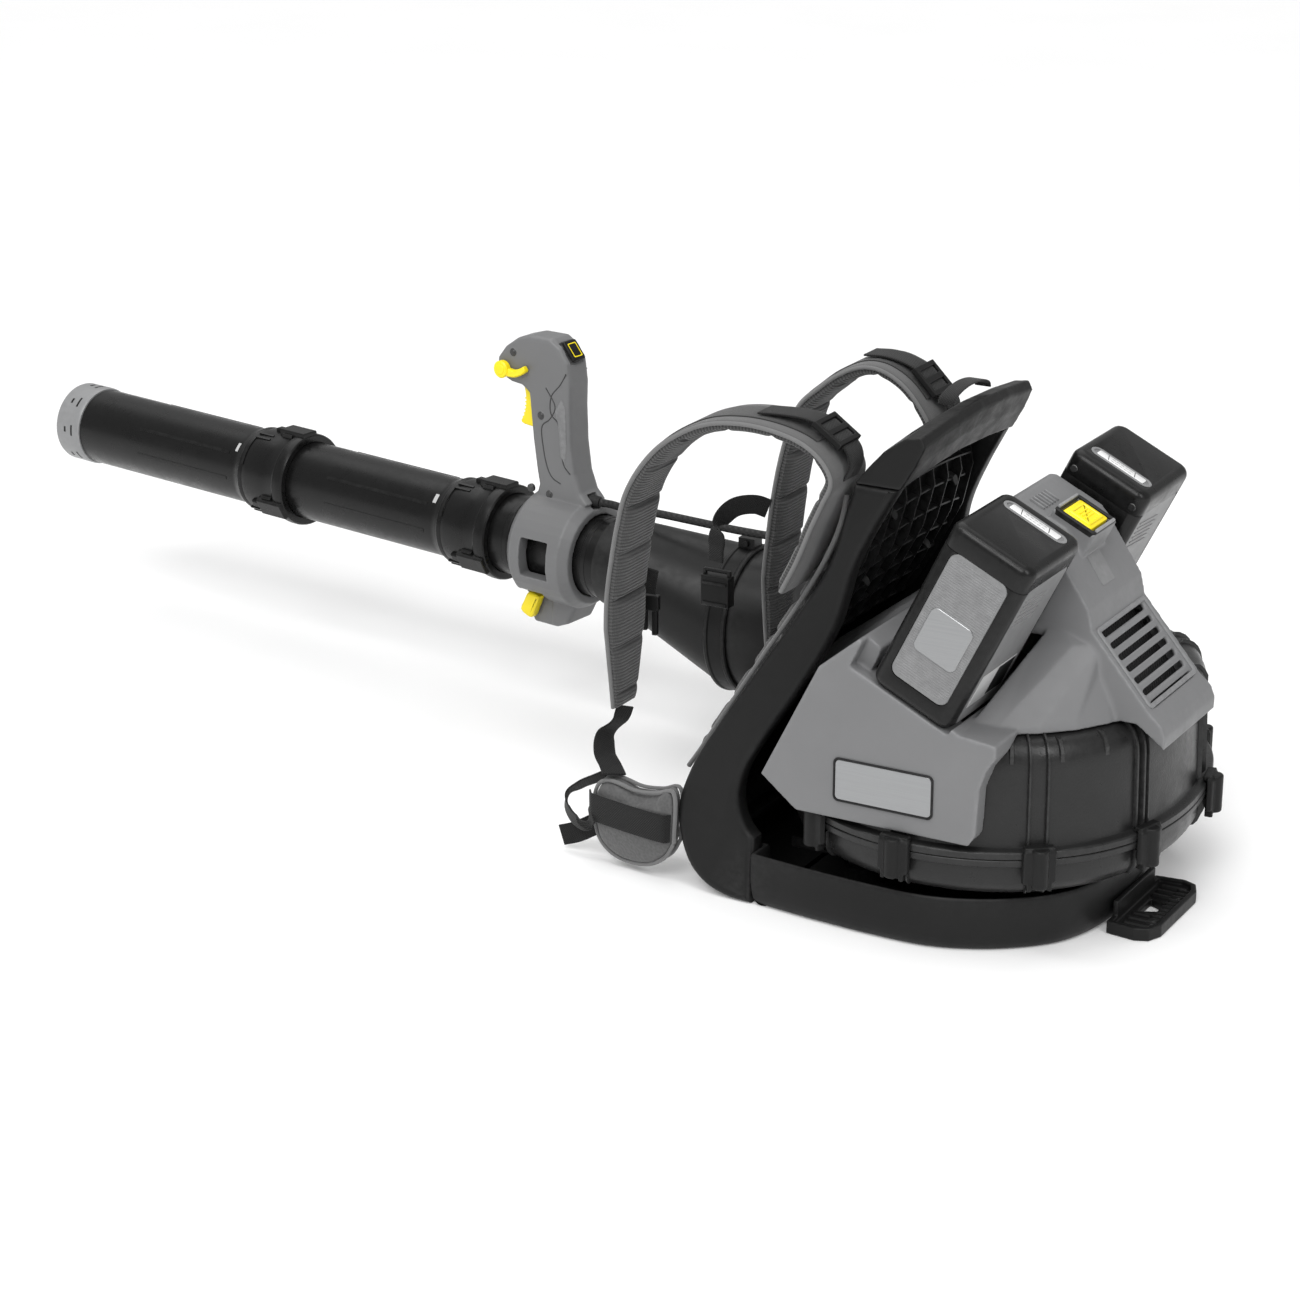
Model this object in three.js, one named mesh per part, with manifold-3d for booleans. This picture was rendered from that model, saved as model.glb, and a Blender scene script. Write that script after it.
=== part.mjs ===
// Battery backpack leaf blower, standing on its base.
// Millimetres. +X is rearward (away from the wearer), -X is the way the nozzle points,
// -Y is the wearer's left side, +Y is the wearer's right side (blow tube side), +Z is up.
// The origin is on the floor under the middle of the base.
import * as THREE from 'three';
import { mergeVertices } from 'three/addons/utils/BufferGeometryUtils.js';
import Module from 'manifold-3d';

const wasm = await Module();
wasm.setup();

// ---------------------------------------------------------------- driving dimensions
const GAP = 0.3;                    // clearance between touching pieces
const DRUM = { cx: -20, cy: 0, r: 178, zSplit: 93, zTop: 196, zBottom: 54, wall: 4 };
const OUTLET = { y: 205, z: 128, halfW: 53, halfH: 64, x: -160 };
const LEAN = 26 * Math.PI / 180;    // batteries lean back by this much
const PACK = { x: 17.6, z: 392, width: 81.5, inner: 70.5, outer: 178, length: 168 };
const COVER = { wall: 3.2, side: 176.5, block: 60 };
const RAIL = { y0: 160, slope: 0.11, thick: 18 };
const TUBE = { r: 41.5, wall: 2.5, px: -485, py: 171.4, pz: 174, dx: -0.993, dy: 0.1149, dz: 0.02726 };
const SOCKET = { r: 47.5, bore: 42.1 };
const STRAP = { width: 65, thick: 15, yLeft: -100, yRight: 100 };
const SEG = 24;

// ---------------------------------------------------------------- helpers
const v3 = (x, y, z) => new THREE.Vector3(x, y, z);

function bare(geometry) {
  let g = geometry.index ? geometry.toNonIndexed() : geometry.clone();
  for (const k of Object.keys(g.attributes)) if (k !== 'position') g.deleteAttribute(k);
  g = mergeVertices(g, 1e-4);
  const idx = g.index.array, keep = [];
  for (let i = 0; i < idx.length; i += 3) {
    const a = idx[i], b = idx[i + 1], c = idx[i + 2];
    if (a !== b && b !== c && a !== c) keep.push(a, b, c);
  }
  g.setIndex(keep);
  return g;
}
function volume(g) {
  const p = g.attributes.position, idx = g.index.array;
  const a = v3(), b = v3(), c = v3(); let s = 0;
  for (let i = 0; i < idx.length; i += 3) {
    a.fromBufferAttribute(p, idx[i]); b.fromBufferAttribute(p, idx[i + 1]); c.fromBufferAttribute(p, idx[i + 2]);
    s += a.dot(b.cross(c));
  }
  return s / 6;
}
function M(geometry) {
  const g = bare(geometry);
  if (volume(g) < 0) {
    const idx = g.index.array;
    for (let i = 0; i < idx.length; i += 3) { const t = idx[i]; idx[i] = idx[i + 1]; idx[i + 1] = t; }
  }
  const mesh = new wasm.Mesh({
    numProp: 3,
    vertProperties: new Float32Array(g.attributes.position.array),
    triVerts: new Uint32Array(g.index.array),
  });
  mesh.merge();
  return new wasm.Manifold(mesh);
}
function G(solid) {
  const mesh = solid.getMesh();
  const g = new THREE.BufferGeometry();
  const n = mesh.numProp, count = mesh.vertProperties.length / n;
  const pos = new Float32Array(count * 3);
  for (let i = 0; i < count; i++) for (let k = 0; k < 3; k++) pos[i * 3 + k] = mesh.vertProperties[i * n + k];
  g.setAttribute('position', new THREE.BufferAttribute(pos, 3));
  g.setIndex(Array.from(mesh.triVerts));
  return g;
}
const add = (...s) => s.reduce((a, b) => a.add(b));
const cut = (a, ...s) => s.reduce((x, b) => x.subtract(b), a);

const shapeOf = (pts) => new THREE.Shape(pts.map(([x, y]) => new THREE.Vector2(x, y)));
// plan outline raised along Z
function prismZ(pts, z0, z1, bevel = 0) {
  const g = new THREE.ExtrudeGeometry(shapeOf(pts), bevel
    ? { depth: z1 - z0 - 2 * bevel, bevelEnabled: true, bevelThickness: bevel, bevelSize: bevel, bevelOffset: -bevel, bevelSegments: 2, curveSegments: 4 }
    : { depth: z1 - z0, bevelEnabled: false });
  g.translate(0, 0, z0 + bevel);
  return g;
}
// side outline (x, z) spread along Y
function prismY(pts, y0, y1, bevel = 0) {
  const g = prismZ(pts, 0, y1 - y0, bevel);
  g.rotateX(Math.PI / 2);
  g.translate(0, y1, 0);
  return g;
}
function box(x0, x1, y0, y1, z0, z1) {
  const g = new THREE.BoxGeometry(x1 - x0, y1 - y0, z1 - z0);
  g.translate((x0 + x1) / 2, (y0 + y1) / 2, (z0 + z1) / 2);
  return g;
}
function cylZ(r, x, y, z0, z1, seg = 24, r2 = r) {
  const g = new THREE.CylinderGeometry(r2, r, z1 - z0, seg);
  g.rotateX(Math.PI / 2);
  g.translate(x, y, (z0 + z1) / 2);
  return g;
}
function cylY(r, x, z, y0, y1, seg = 20) {
  const g = new THREE.CylinderGeometry(r, r, y1 - y0, seg);
  g.translate(x, (y0 + y1) / 2, z);
  return g;
}
function roundRect(w, h, r, n = 4) {
  const pts = [];
  for (const [cx, cy, a0] of [[w / 2 - r, h / 2 - r, 0], [-w / 2 + r, h / 2 - r, 90], [-w / 2 + r, -h / 2 + r, 180], [w / 2 - r, -h / 2 + r, 270]]) {
    for (let i = 0; i <= n; i++) {
      const a = (a0 + 90 * i / n) * Math.PI / 180;
      pts.push([cx + r * Math.cos(a), cy + r * Math.sin(a)]);
    }
  }
  return pts;
}
// skin through a list of rings with the same number of points, closed by flat ends
function loft(rings) {
  const n = rings[0].length, pos = [], idx = [];
  for (const r of rings) for (const p of r) pos.push(p[0], p[1], p[2]);
  for (let i = 0; i + 1 < rings.length; i++) for (let j = 0; j < n; j++) {
    const a = i * n + j, b = i * n + (j + 1) % n, c = a + n, d = b + n;
    idx.push(a, b, d, a, d, c);
  }
  const cap = (k, flip) => {
    const ring = rings[k].map((p) => v3(...p));
    const normal = v3(0, 0, 0);
    for (let i = 0; i < n; i++) {
      const p = ring[i], q = ring[(i + 1) % n];
      normal.add(v3((p.y - q.y) * (p.z + q.z), (p.z - q.z) * (p.x + q.x), (p.x - q.x) * (p.y + q.y)));
    }
    normal.normalize();
    const helper = Math.abs(normal.z) < 0.8 ? v3(0, 0, 1) : v3(1, 0, 0);
    const e1 = helper.clone().cross(normal).normalize(), e2 = normal.clone().cross(e1);
    const flat = ring.map((p) => new THREE.Vector2(p.dot(e1), p.dot(e2)));
    for (const [a, b, c] of THREE.ShapeUtils.triangulateShape(flat, [])) {
      if (flip) idx.push(k * n + a, k * n + c, k * n + b); else idx.push(k * n + a, k * n + b, k * n + c);
    }
  };
  cap(0, true); cap(rings.length - 1, false);
  const g = new THREE.BufferGeometry();
  g.setAttribute('position', new THREE.BufferAttribute(new Float32Array(pos), 3));
  g.setIndex(idx);
  return g;
}
// flat band of given width (along `across`) and thickness, following points
function band(points, across, width, thick, taper = null) {
  const rings = [];
  const A = v3(...across).normalize();
  for (let i = 0; i < points.length; i++) {
    const p = v3(...points[i]);
    const a = v3(...points[Math.max(0, i - 1)]), b = v3(...points[Math.min(points.length - 1, i + 1)]);
    const t = b.sub(a).normalize();
    const nrm = t.clone().cross(A).normalize();
    const k = taper ? taper(i / (points.length - 1)) : [1, 1];
    const w = width * k[0] / 2, h = thick * k[1] / 2, r = Math.min(h * 0.6, 3);
    const sec = [[w - r, h], [-w + r, h], [-w, h - r], [-w, -h + r], [-w + r, -h], [w - r, -h], [w, -h + r], [w, h - r]];
    rings.push(sec.map(([x, y]) => { const q = p.clone().addScaledVector(A, x).addScaledVector(nrm, y); return [q.x, q.y, q.z]; }));
  }
  return loft(rings);
}
function smoothPath(points, n) {
  const c = new THREE.CatmullRomCurve3(points.map((p) => v3(...p)), false, 'centripetal');
  return c.getSpacedPoints(n).map((p) => [p.x, p.y, p.z]);
}
const plastic = (hex, rough = 0.55) => new THREE.MeshStandardMaterial({ color: hex, roughness: rough, metalness: 0 });
const metal = (hex, rough = 0.35) => new THREE.MeshStandardMaterial({ color: hex, roughness: rough, metalness: 1 });
const MAT = {
  frame: plastic(0x2b2b2d, 0.6), drum: plastic(0x303133, 0.45), cover: plastic(0x7c7e80, 0.5), dark: plastic(0x1c1c1d, 0.6),
  tube: plastic(0x242526, 0.4), yellow: plastic(0xffed00, 0.45), pack: plastic(0x1a1a1b, 0.3), fabric: plastic(0x3a3b3d, 0.95),
  rubber: plastic(0x1b1b1c, 0.8), steel: metal(0xb5b7ba), copper: metal(0xa8683e), plate: metal(0xb9bbbd, 0.4), white: plastic(0xe8e8e8, 0.4),
  webbing: plastic(0x171718, 0.9), ring: plastic(0x8f9193, 0.45),
};
const group = new THREE.Group();
const tubeGroup = new THREE.Group();
function node(name, geometry, material, parent = group) {
  const g = geometry.getMesh ? G(geometry) : bare(geometry);
  if (!geometry.getMesh && volume(g) < 0) {
    const idx = g.index.array;
    for (let i = 0; i < idx.length; i += 3) { const t = idx[i]; idx[i] = idx[i + 1]; idx[i + 1] = t; }
  }
  g.computeVertexNormals();
  const m = new THREE.Mesh(g, material);
  m.name = name;
  parent.add(m);
  return m;
}

// ---------------------------------------------------------------- fan housing
const radiusCurve = new THREE.CatmullRomCurve3([[-250, 178], [-180, 178], [-150, 178], [-119, 178], [-90, 178], [-46, 178],
  [-27, 177.5], [-3, 178], [18, 187], [33, 202], [60, 236], [90, 258]].map(([a, r]) => v3(a, r, 0)), false, 'centripetal');
const radiusTable = radiusCurve.getPoints(240);
function spiralRadius(deg) {
  for (let i = 0; i + 1 < radiusTable.length; i++) {
    const a = radiusTable[i], b = radiusTable[i + 1];
    if (deg >= a.x && deg <= b.x) return a.y + (b.y - a.y) * (deg - a.x) / (b.x - a.x || 1);
  }
  return deg < 0 ? 178 : 258;
}
// plan outline of the spiral housing, moved inward by `off`; the outlet mouth ends at x = xe
function volute(off, xe = OUTLET.x) {
  const yIn = OUTLET.y - OUTLET.halfW + off, yOut = OUTLET.y + OUTLET.halfW - off;
  const pts = [];
  const a0 = 180 - Math.asin(Math.min(0.97, yIn / (178 - off))) * 180 / Math.PI - 360;
  const n = 30;
  for (let i = 0; i <= n; i++) {
    const a = a0 + (90 - a0) * i / n, r = spiralRadius(a) - off;
    pts.push([DRUM.cx + r * Math.cos(a * Math.PI / 180), DRUM.cy + r * Math.sin(a * Math.PI / 180)]);
  }
  pts[pts.length - 1][1] = yOut;
  pts.push([xe, yOut], [xe, yIn]);
  return pts;
}
const ringAt = (off, z, xe) => volute(off, xe).map(([x, y]) => [x, y, z]);
const upperOuter = loft([ringAt(0, DRUM.zSplit + GAP), ringAt(0, 100), ringAt(8, 101.5), ringAt(10, 176), ringAt(14, 189), ringAt(26, DRUM.zTop)]);
const upperInner = loft([ringAt(12, 80, -166), ringAt(13, 174, -166), ringAt(18, 185, -166), ringAt(30, DRUM.zTop - 4, -166)]);
const intake = M(cylZ(84, DRUM.cx, DRUM.cy, 180, 210, 28));
node('fan_housing_upper', cut(M(upperOuter), M(upperInner), intake), MAT.drum);
const lowerOuter = loft([ringAt(24, DRUM.zBottom), ringAt(12, 58), ringAt(6, 68), ringAt(5, 85), ringAt(0, 86.5), ringAt(0, DRUM.zSplit - GAP)]);
const lowerInner = loft([ringAt(28, 58, -166), ringAt(16, 63, -166), ringAt(12, 70, -166), ringAt(12, 110, -166)]);
node('fan_housing_lower', cut(M(lowerOuter), M(lowerInner)), MAT.drum);

// clips that hold the two halves together
const clipAngles = { clip_1: -122, clip_2: -92, clip_3: -52, clip_4: -16, clip_5: 28, clip_6: 58 };
for (const [name, deg] of Object.entries(clipAngles)) {
  const r = spiralRadius(deg > 90 ? deg - 360 : deg);
  let s = M(box(0.5, 9, -15, 15, 70, 104));
  s = add(s, M(box(-4, 1, -13, 13, 101.9, 106)), M(box(-2, 1, -13, 13, 78, 84.6)));
  const g = G(s);
  const at = (a) => spiralRadius(a > 90 ? a - 360 : a);
  g.rotateZ(-Math.atan2(at(deg + 3) - at(deg - 3), r * 6 * Math.PI / 180));
  g.translate(r + 0.4, 0, 0);
  g.rotateZ(deg * Math.PI / 180);
  g.translate(DRUM.cx, DRUM.cy, 0);
  node(name, g, MAT.frame);
}

// motor, its carrier and the fan wheel
const spider = add(
  cut(M(cylZ(82, DRUM.cx, DRUM.cy, 183, 190, 24)), M(cylZ(74, DRUM.cx, DRUM.cy, 180, 195, 24))),
  cut(M(cylZ(48, DRUM.cx, DRUM.cy, 178, 190, 20)), M(cylZ(42.4, DRUM.cx, DRUM.cy, 170, 195, 20))),
  ...[30, 150, 270].map((d) => { const g = box(45, 77, -5, 5, 183, 190); g.rotateZ(d * Math.PI / 180); g.translate(DRUM.cx, DRUM.cy, 0); return M(g); }));
node('motor_carrier', spider, MAT.dark);
node('motor_stator', cut(M(cylZ(42, DRUM.cx, DRUM.cy, 124, 192, 20)), M(cylZ(28, DRUM.cx, DRUM.cy, 120, 186, 18))), MAT.steel);
const rotorShaft = add(M(cylZ(27, DRUM.cx, DRUM.cy, 128, 180, 18)), M(cylZ(5, DRUM.cx, DRUM.cy, 70, 129, 16)));
node('motor_rotor_shaft', rotorShaft, MAT.copper);
let wheel = add(M(cylZ(138, DRUM.cx, DRUM.cy, 74, 77.5, 28)), M(cylZ(22, DRUM.cx, DRUM.cy, 74, 112, 24)));
for (let i = 0; i < 10; i++) {
  const pts = [];
  for (let k = 0; k <= 4; k++) { const r = 26 + 26 * k, a = -0.13 * k + i * Math.PI / 5; pts.push([r * Math.cos(a), r * Math.sin(a), 95]); }
  const blade = band(pts.map((p) => [p[0] + DRUM.cx, p[1] + DRUM.cy, p[2] + 0.5]), [0, 0, 1], 39, 2.4);
  wheel = wheel.add(M(blade));
}
wheel = cut(wheel, M(cylZ(5.06, DRUM.cx, DRUM.cy, 60, 130, 16)));
node('fan_wheel', wheel, MAT.dark);

// ---------------------------------------------------------------- base
const half = [[-232, -112], [-226, -130], [-212, -135.6], [-175.5, -135.8], [-175.5, -161], [-118, -167], [-59, -170], [-5, -168], [28, -158], [64, -137], [97, -104], [112, -70], [118, -40], [120, -12]];
const baseOutline = [...half, ...half.slice().reverse().map(([x, y]) => [x, -y])];
function inset(pts, d) {
  const n = pts.length, out = [];
  for (let i = 0; i < n; i++) {
    const p = pts[(i + n - 1) % n], q = pts[i], r = pts[(i + 1) % n];
    const a = new THREE.Vector2(q[0] - p[0], q[1] - p[1]).normalize(), b = new THREE.Vector2(r[0] - q[0], r[1] - q[1]).normalize();
    const na = new THREE.Vector2(-a.y, a.x), nb = new THREE.Vector2(-b.y, b.x);
    const m = na.clone().add(nb).normalize(), k = d / Math.max(0.35, m.dot(na));
    out.push([q[0] + m.x * k, q[1] + m.y * k]);
  }
  return out;
}
const baseAt = (d, z) => inset(baseOutline, d).map(([x, y]) => [x, y, z]);
let tray = M(loft([baseAt(12, 0), baseAt(4, 5), baseAt(0.5, 14), baseAt(0, 24), baseAt(0.5, 50)]));
tray = cut(tray, M(loft([baseAt(15, 5), baseAt(5.5, 14), baseAt(4.5, 24), baseAt(4.5, 60)])));
// inner carrying ribs that take the anti-vibration buffers
tray = add(tray, ...[[-110, -64], [-110, 64], [66, 0]].map(([x, y]) => M(cylZ(20, x, y, 3, 20, 20))));
node('base_tray', tray, MAT.frame);
const buffers = { buffer_front_left: [-110, -64], buffer_front_right: [-110, 64], buffer_rear: [66, 0] };
for (const [name, [x, y]] of Object.entries(buffers)) {
  const g = new THREE.LatheGeometry([[0, 20.3], [15, 20.3], [15, 25], [11, 33], [11, 41], [15, 49], [15, 53.7], [0, 53.7]].map(([a, b]) => new THREE.Vector2(a, b)), 12);
  g.rotateX(Math.PI / 2);
  g.translate(x, y, 0);
  node(name, g, MAT.rubber);
}
// foot plate that is stepped on while the machine is lifted on
const stepPts = [[121.2, -58], [148, -61], [160, -56], [166, -42], [166, 42], [160, 56], [148, 61], [121.2, 58]];
let step = M(prismZ(stepPts, 0.2, 8));
step = add(step, cut(M(prismZ(stepPts, 7.5, 12)), M(prismZ(inset(stepPts, 5), 5, 20))));
step = add(step, M(box(121.2, 126, -44, 44, 4, 26)));
for (let i = -4; i <= 4; i++) if (Math.abs(i) > 1) step = step.add(M(box(132, 156, i * 11 - 2, i * 11 + 2, 7, 10)));
step = cut(step, M(prismZ([[134, -15], [150, -7], [150, 7], [134, 15]], -5, 30)));
node('foot_plate', step, MAT.frame);

// ---------------------------------------------------------------- carrying frame
const railProfile = [[-176, 0.6], [-200, 2], [-222, 9], [-238, 22], [-248, 40], [-254, 62], [-254, 82], [-247, 106], [-236, 130], [-182, 217], [-147, 272], [-121, 320], [-110, 365], [-103, 389],
  [-62, 389], [-82, 352], [-98, 316], [-112, 260], [-142, 202], [-177, 146], [-191, 118], [-194.5, 96], [-190, 78], [-184, 68], [-176, 61]];
const railY = (z) => RAIL.y0 - RAIL.slope * z;
function rail(sign) {
  const outer = railProfile.map(([x, z]) => [x, sign * railY(z), z]);
  const inner = railProfile.map(([x, z]) => [x, sign * (railY(z) - RAIL.thick), z]);
  const mid = (t) => railProfile.map(([x, z], i) => [outer[i][0] + 0, outer[i][1] + (inner[i][1] - outer[i][1]) * t, z]);
  return loft([outer, mid(0.5), inner]);
}
node('frame_rail_left', rail(-1), MAT.frame);
node('frame_rail_right', rail(1), MAT.frame);
// top yoke that joins the two rails and carries the shoulder straps
const yokeProfile = [[-103, 389.4], [-92, 404], [-78, 420], [-58, 434], [-44, 436], [-40, 428], [-48, 410], [-60, 389.4]];
let yoke = M(loft([
  yokeProfile.map(([x, z]) => [x, -railY(z) + 0.2, z]),
  yokeProfile.map(([x, z]) => [x + 1, -60, z + 5]),
  yokeProfile.map(([x, z]) => [x + 2, 0, z + 8]),
  yokeProfile.map(([x, z]) => [x + 1, 60, z + 5]),
  yokeProfile.map(([x, z]) => [x, railY(z) - 0.2, z]),
]));
const hollowProfile = [[-95, 380], [-86, 404], [-74, 416], [-58, 426], [-52, 420], [-62, 400], [-72, 380]];
yoke = cut(yoke, M(prismY(hollowProfile, -98, 98)));
for (const s of [-1, 1]) yoke = cut(yoke, M(box(-74, -62, s * 62 - 22, s * 62 + 22, 400, 470)));
node('frame_yoke', yoke, MAT.frame);
const grabPath = smoothPath([[-56, -24, 446.2], [-56, -22, 452], [-56, 0, 458], [-56, 22, 452], [-56, 24, 446.2]], 14);
node('grab_loop', band(grabPath.map(([x, y, z]) => [x, y * 1.6, z]), [1, 0, 0], 16, 2.4), MAT.webbing);
// ribbed back panel between the rails
const panelPath = [[-243, 62], [-242, 84], [-236, 106], [-226, 130], [-172, 217], [-137, 272], [-111, 320], [-99, 365], [-94, 384]];
const panelHalf = (z) => railY(z) - RAIL.thick - 1.2;
function slab(dx0, dx1, trim) {
  const front = [], back = [];
  for (const [x, z] of panelPath) { front.push([x + dx0, z]); back.push([x + dx1, z]); }
  const ring = [...front, ...back.reverse()];
  return loft([ring.map(([x, z]) => [x, -panelHalf(z) + trim, z]), ring.map(([x, z]) => [x, 0, z]), ring.map(([x, z]) => [x, panelHalf(z) - trim, z])]);
}
// the panel folds in over the front wall of the base
node('back_panel', add(M(slab(-4, 4, 0)), M(prismY([[-246, 62.5], [-228, 51], [-210, 51], [-210, 54.5], [-226, 55], [-239.5, 67]], -130, 130))), MAT.dark);
// padded back cushion
const padPath = [[-268, 96], [-256, 114], [-240, 140], [-192, 217], [-157, 272], [-132, 318], [-121, 350], [-118, 372]];
{
  const ring = (y, k) => {
    const front = padPath.map(([x, z]) => [x - 9 * k, z]), back = padPath.map(([x, z]) => [x + 11, z]).reverse();
    return [...front, ...back].map(([x, z]) => [x, y * Math.min(104, railY(z) - RAIL.thick - 4), z]);
  };
  node('back_cushion', loft([ring(-1, 0.4), ring(-0.92, 1), ring(0, 0.8), ring(0.92, 1), ring(1, 0.4)]), MAT.fabric);
}

// ---------------------------------------------------------------- harness
const strapLeftPath = [[-121, 391], [-127, 404], [-143, 417], [-168, 425], [-205, 428], [-241, 422], [-277, 402], [-299, 380], [-316, 352], [-324, 324], [-331, 287], [-336, 250], [-337, 205], [-337.5, 165], [-338, 142]];
const strapRightPath = [[-124, 390], [-131, 404], [-149, 424], [-171, 435], [-190, 435], [-213, 424], [-231, 410], [-249, 393], [-260, 367], [-268, 338], [-275, 300], [-280, 260], [-284, 220], [-286, 180], [-287, 150]];
const strapTaper = (t) => t > 0.86 ? [1 - (t - 0.86) * 3.2, 1 - (t - 0.86) * 4] : [1, 1];
const leftPath = smoothPath(strapLeftPath.map(([x, z]) => [x, STRAP.yLeft, z]), 18);
const rightPath = smoothPath(strapRightPath.map(([x, z]) => [x, STRAP.yRight, z]), 18);
node('shoulder_strap_left', band(leftPath, [0, 1, 0], STRAP.width, STRAP.thick, strapTaper), MAT.fabric);
node('shoulder_strap_right', band(rightPath, [0, 1, 0], STRAP.width, STRAP.thick, strapTaper), MAT.fabric);
// ladder buckles at the top of each strap
function ladder(x, y, z, angle) {
  let s = M(box(-16, 16, -19, 19, -3, 3));
  s = cut(s, M(box(-11, -3, -15, 15, -9, 9)), M(box(3, 11, -15, 15, -9, 9)));
  const g = G(s);
  g.rotateY(angle);
  g.translate(x, y, z);
  return g;
}
node('strap_adjuster_left', ladder(-129, STRAP.yLeft, 428.5, 35 * Math.PI / 180), MAT.dark);
node('strap_adjuster_right', ladder(-133, STRAP.yRight, 428, 45 * Math.PI / 180), MAT.dark);
// lower webbing from each strap to its hip pad
const lowerLeft = smoothPath([[-338.3, -100, 139.2], [-343, -106, 128], [-350, -116, 116], [-345, -126, 102], [-334, -134, 93], [-326, -141, 88.6]], 10);
const lowerRight = smoothPath([[-287.3, 100, 147.2], [-296, 106, 134], [-308, 112, 118], [-318, 116, 106], [-324, 120, 96], [-326, 123, 88.6]], 10);
node('lower_webbing_left', band(lowerLeft, [0.25, 1, 0], 24, 2.4), MAT.webbing);
node('lower_webbing_right', band(lowerRight, [0.25, 1, 0], 24, 2.4), MAT.webbing);
const hipProfile = [[-256, 40], [-266, 24], [-284, 12], [-306, 8], [-326, 11], [-340, 22], [-346, 40], [-346, 66], [-340, 79], [-328, 83], [-300, 80], [-276, 84], [-257, 90]];
function hip(sign, shift = 0) {
  const ring = (t, k) => hipProfile.map(([x, z]) => {
    const cx = -302, cz = 46, u = (-256 - x) / 90;
    const y = 148 - shift - 12 * Math.sin(u * 1.5) + t * 13;
    return [cx + (x - cx) * k, sign * y, cz + (z - cz) * k];
  });
  return loft([ring(-1, 0.9), ring(-0.6, 1), ring(0.6, 1), ring(1, 0.9)]);
}
node('hip_pad_left', hip(-1), MAT.fabric);
node('hip_pad_right', hip(1, 18), MAT.fabric);
// chest strap: catch side hangs from the left strap, receiver side from the right strap
node('chest_webbing_left', band([[-334, -65.2, 262], [-338, -61, 250], [-340, -60, 236]], [1, 0.2, 0], 20, 2), MAT.webbing);
{
  let s = add(M(box(-14, 14, -4, 4, -2, 12)), M(box(-12.5, -7.5, -3, 3, -26, -1)), M(box(-2.5, 2.5, -2.5, 2.5, -22, -1)), M(box(7.5, 12.5, -3, 3, -26, -1)));
  const g = G(s);
  g.rotateZ(Math.atan2(0.2, 1));
  g.translate(-341, -60, 222.5);
  node('chest_buckle_catch', g, MAT.dark);
}
const chestRight = smoothPath([[-281, 66.0, 292], [-292, 60, 296], [-310, 52, 292], [-322, 46, 276], [-324, 44, 252], [-324, 43, 240]], 10);
node('chest_webbing_right', band(chestRight, [0.3, 0, 1], 20, 2), MAT.webbing);
{
  const s = cut(M(box(-15, 15, -6, 6, -30, 0)), M(box(-12.5, 12.5, -3.6, 3.6, -40, -8)));
  const g = G(s);
  g.translate(-322, 43, 227);
  node('chest_buckle_receiver', g, MAT.dark);
}

// ---------------------------------------------------------------- battery frame (u along width, v = Y, w along length)
const U = v3(Math.cos(LEAN), 0, -Math.sin(LEAN)), W = v3(Math.sin(LEAN), 0, Math.cos(LEAN)), V = v3(0, 1, 0);
const packMatrix = new THREE.Matrix4().makeBasis(U, V, W).setPosition(PACK.x, 0, PACK.z);
function inPack(geometry) { const g = geometry.clone(); g.applyMatrix4(packMatrix); return g; }
function packBody(sign) {
  const w = PACK.width, d = PACK.outer - PACK.inner;
  const ring = (inset2, z) => roundRect(w - 2 * inset2, d - 2 * inset2, 13, 3).map(([a, b]) => [a + w / 2, b + sign * (PACK.inner + d / 2), z]);
  return loft([ring(8, -PACK.length), ring(2, -PACK.length + 3), ring(0, -PACK.length + 9), ring(0, -9), ring(2.2, -3), ring(8, 0)]);
}
const recess = (sign) => { const g = prismZ(roundRect(62, 16, 7.9, 5), -1.2, 5); g.translate(41, sign * 94.5, 0); return M(inPack(g)); };
for (const [side, sign] of [['left', -1], ['right', 1]]) {
  node('battery_' + side, cut(M(inPack(packBody(sign))), recess(sign)), MAT.pack);
  const g = prismZ(roundRect(61.2, 15.2, 7.5, 4), -0.9, 0.1);
  g.translate(41, sign * 94.5, 0);
  node('battery_gauge_' + side, inPack(g), MAT.white);
}

// ---------------------------------------------------------------- top cover
const ledgeW = -PACK.length - 0.8;
const pk = (u, w) => [PACK.x + U.x * u + W.x * w, PACK.z + U.z * u + W.z * w];
const profA = [[-158, 135], [-124, 108], [40, 108], [46, 118], [48, 160], [54, 178], [62, 190], [62, 196], [24, 206], pk(-4, ledgeW), pk(-6, ledgeW + 24), pk(-24, ledgeW + 26), [-104, 243]];
const profAi = [[-154, 136], [-124, 100], [43, 100], [44.8, 160], [51, 180], [56, 192], [20, 200], pk(-2, ledgeW - 6), pk(-12, ledgeW + 15), pk(-22, ledgeW + 20), [-100, 240]];
const profB = [[-126, 198], [62, 198], [62, 202], [24, 206], pk(-4, ledgeW), pk(-6, ledgeW + 24), pk(-24, ledgeW + 26), [-104, 243]];
const profBi = [[-121, 190], [56, 190], [56, 196], [20, 200], pk(-2, ledgeW - 6), pk(-12, ledgeW + 15), pk(-22, ledgeW + 20), [-100, 240]];
const profC = [[-112, 200], [-84, 248], pk(-6, -70), pk(-5, -28), pk(0, -24), pk(50, -24), pk(58, -27), [92, 292], [96, 274], [150, 211], [162, 200], [166, 190], [165, 180], [140, 198]];
const profCi = [[-106, 190], [-80, 246], pk(-2, -72), pk(0, -31), pk(4, -28), pk(48, -28), pk(55, -31), [87.5, 289], [91.5, 272], [146, 209], [158, 197], [160.5, 186], [140, 190]];
const sideY = COVER.side, bl = COVER.block;
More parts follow.
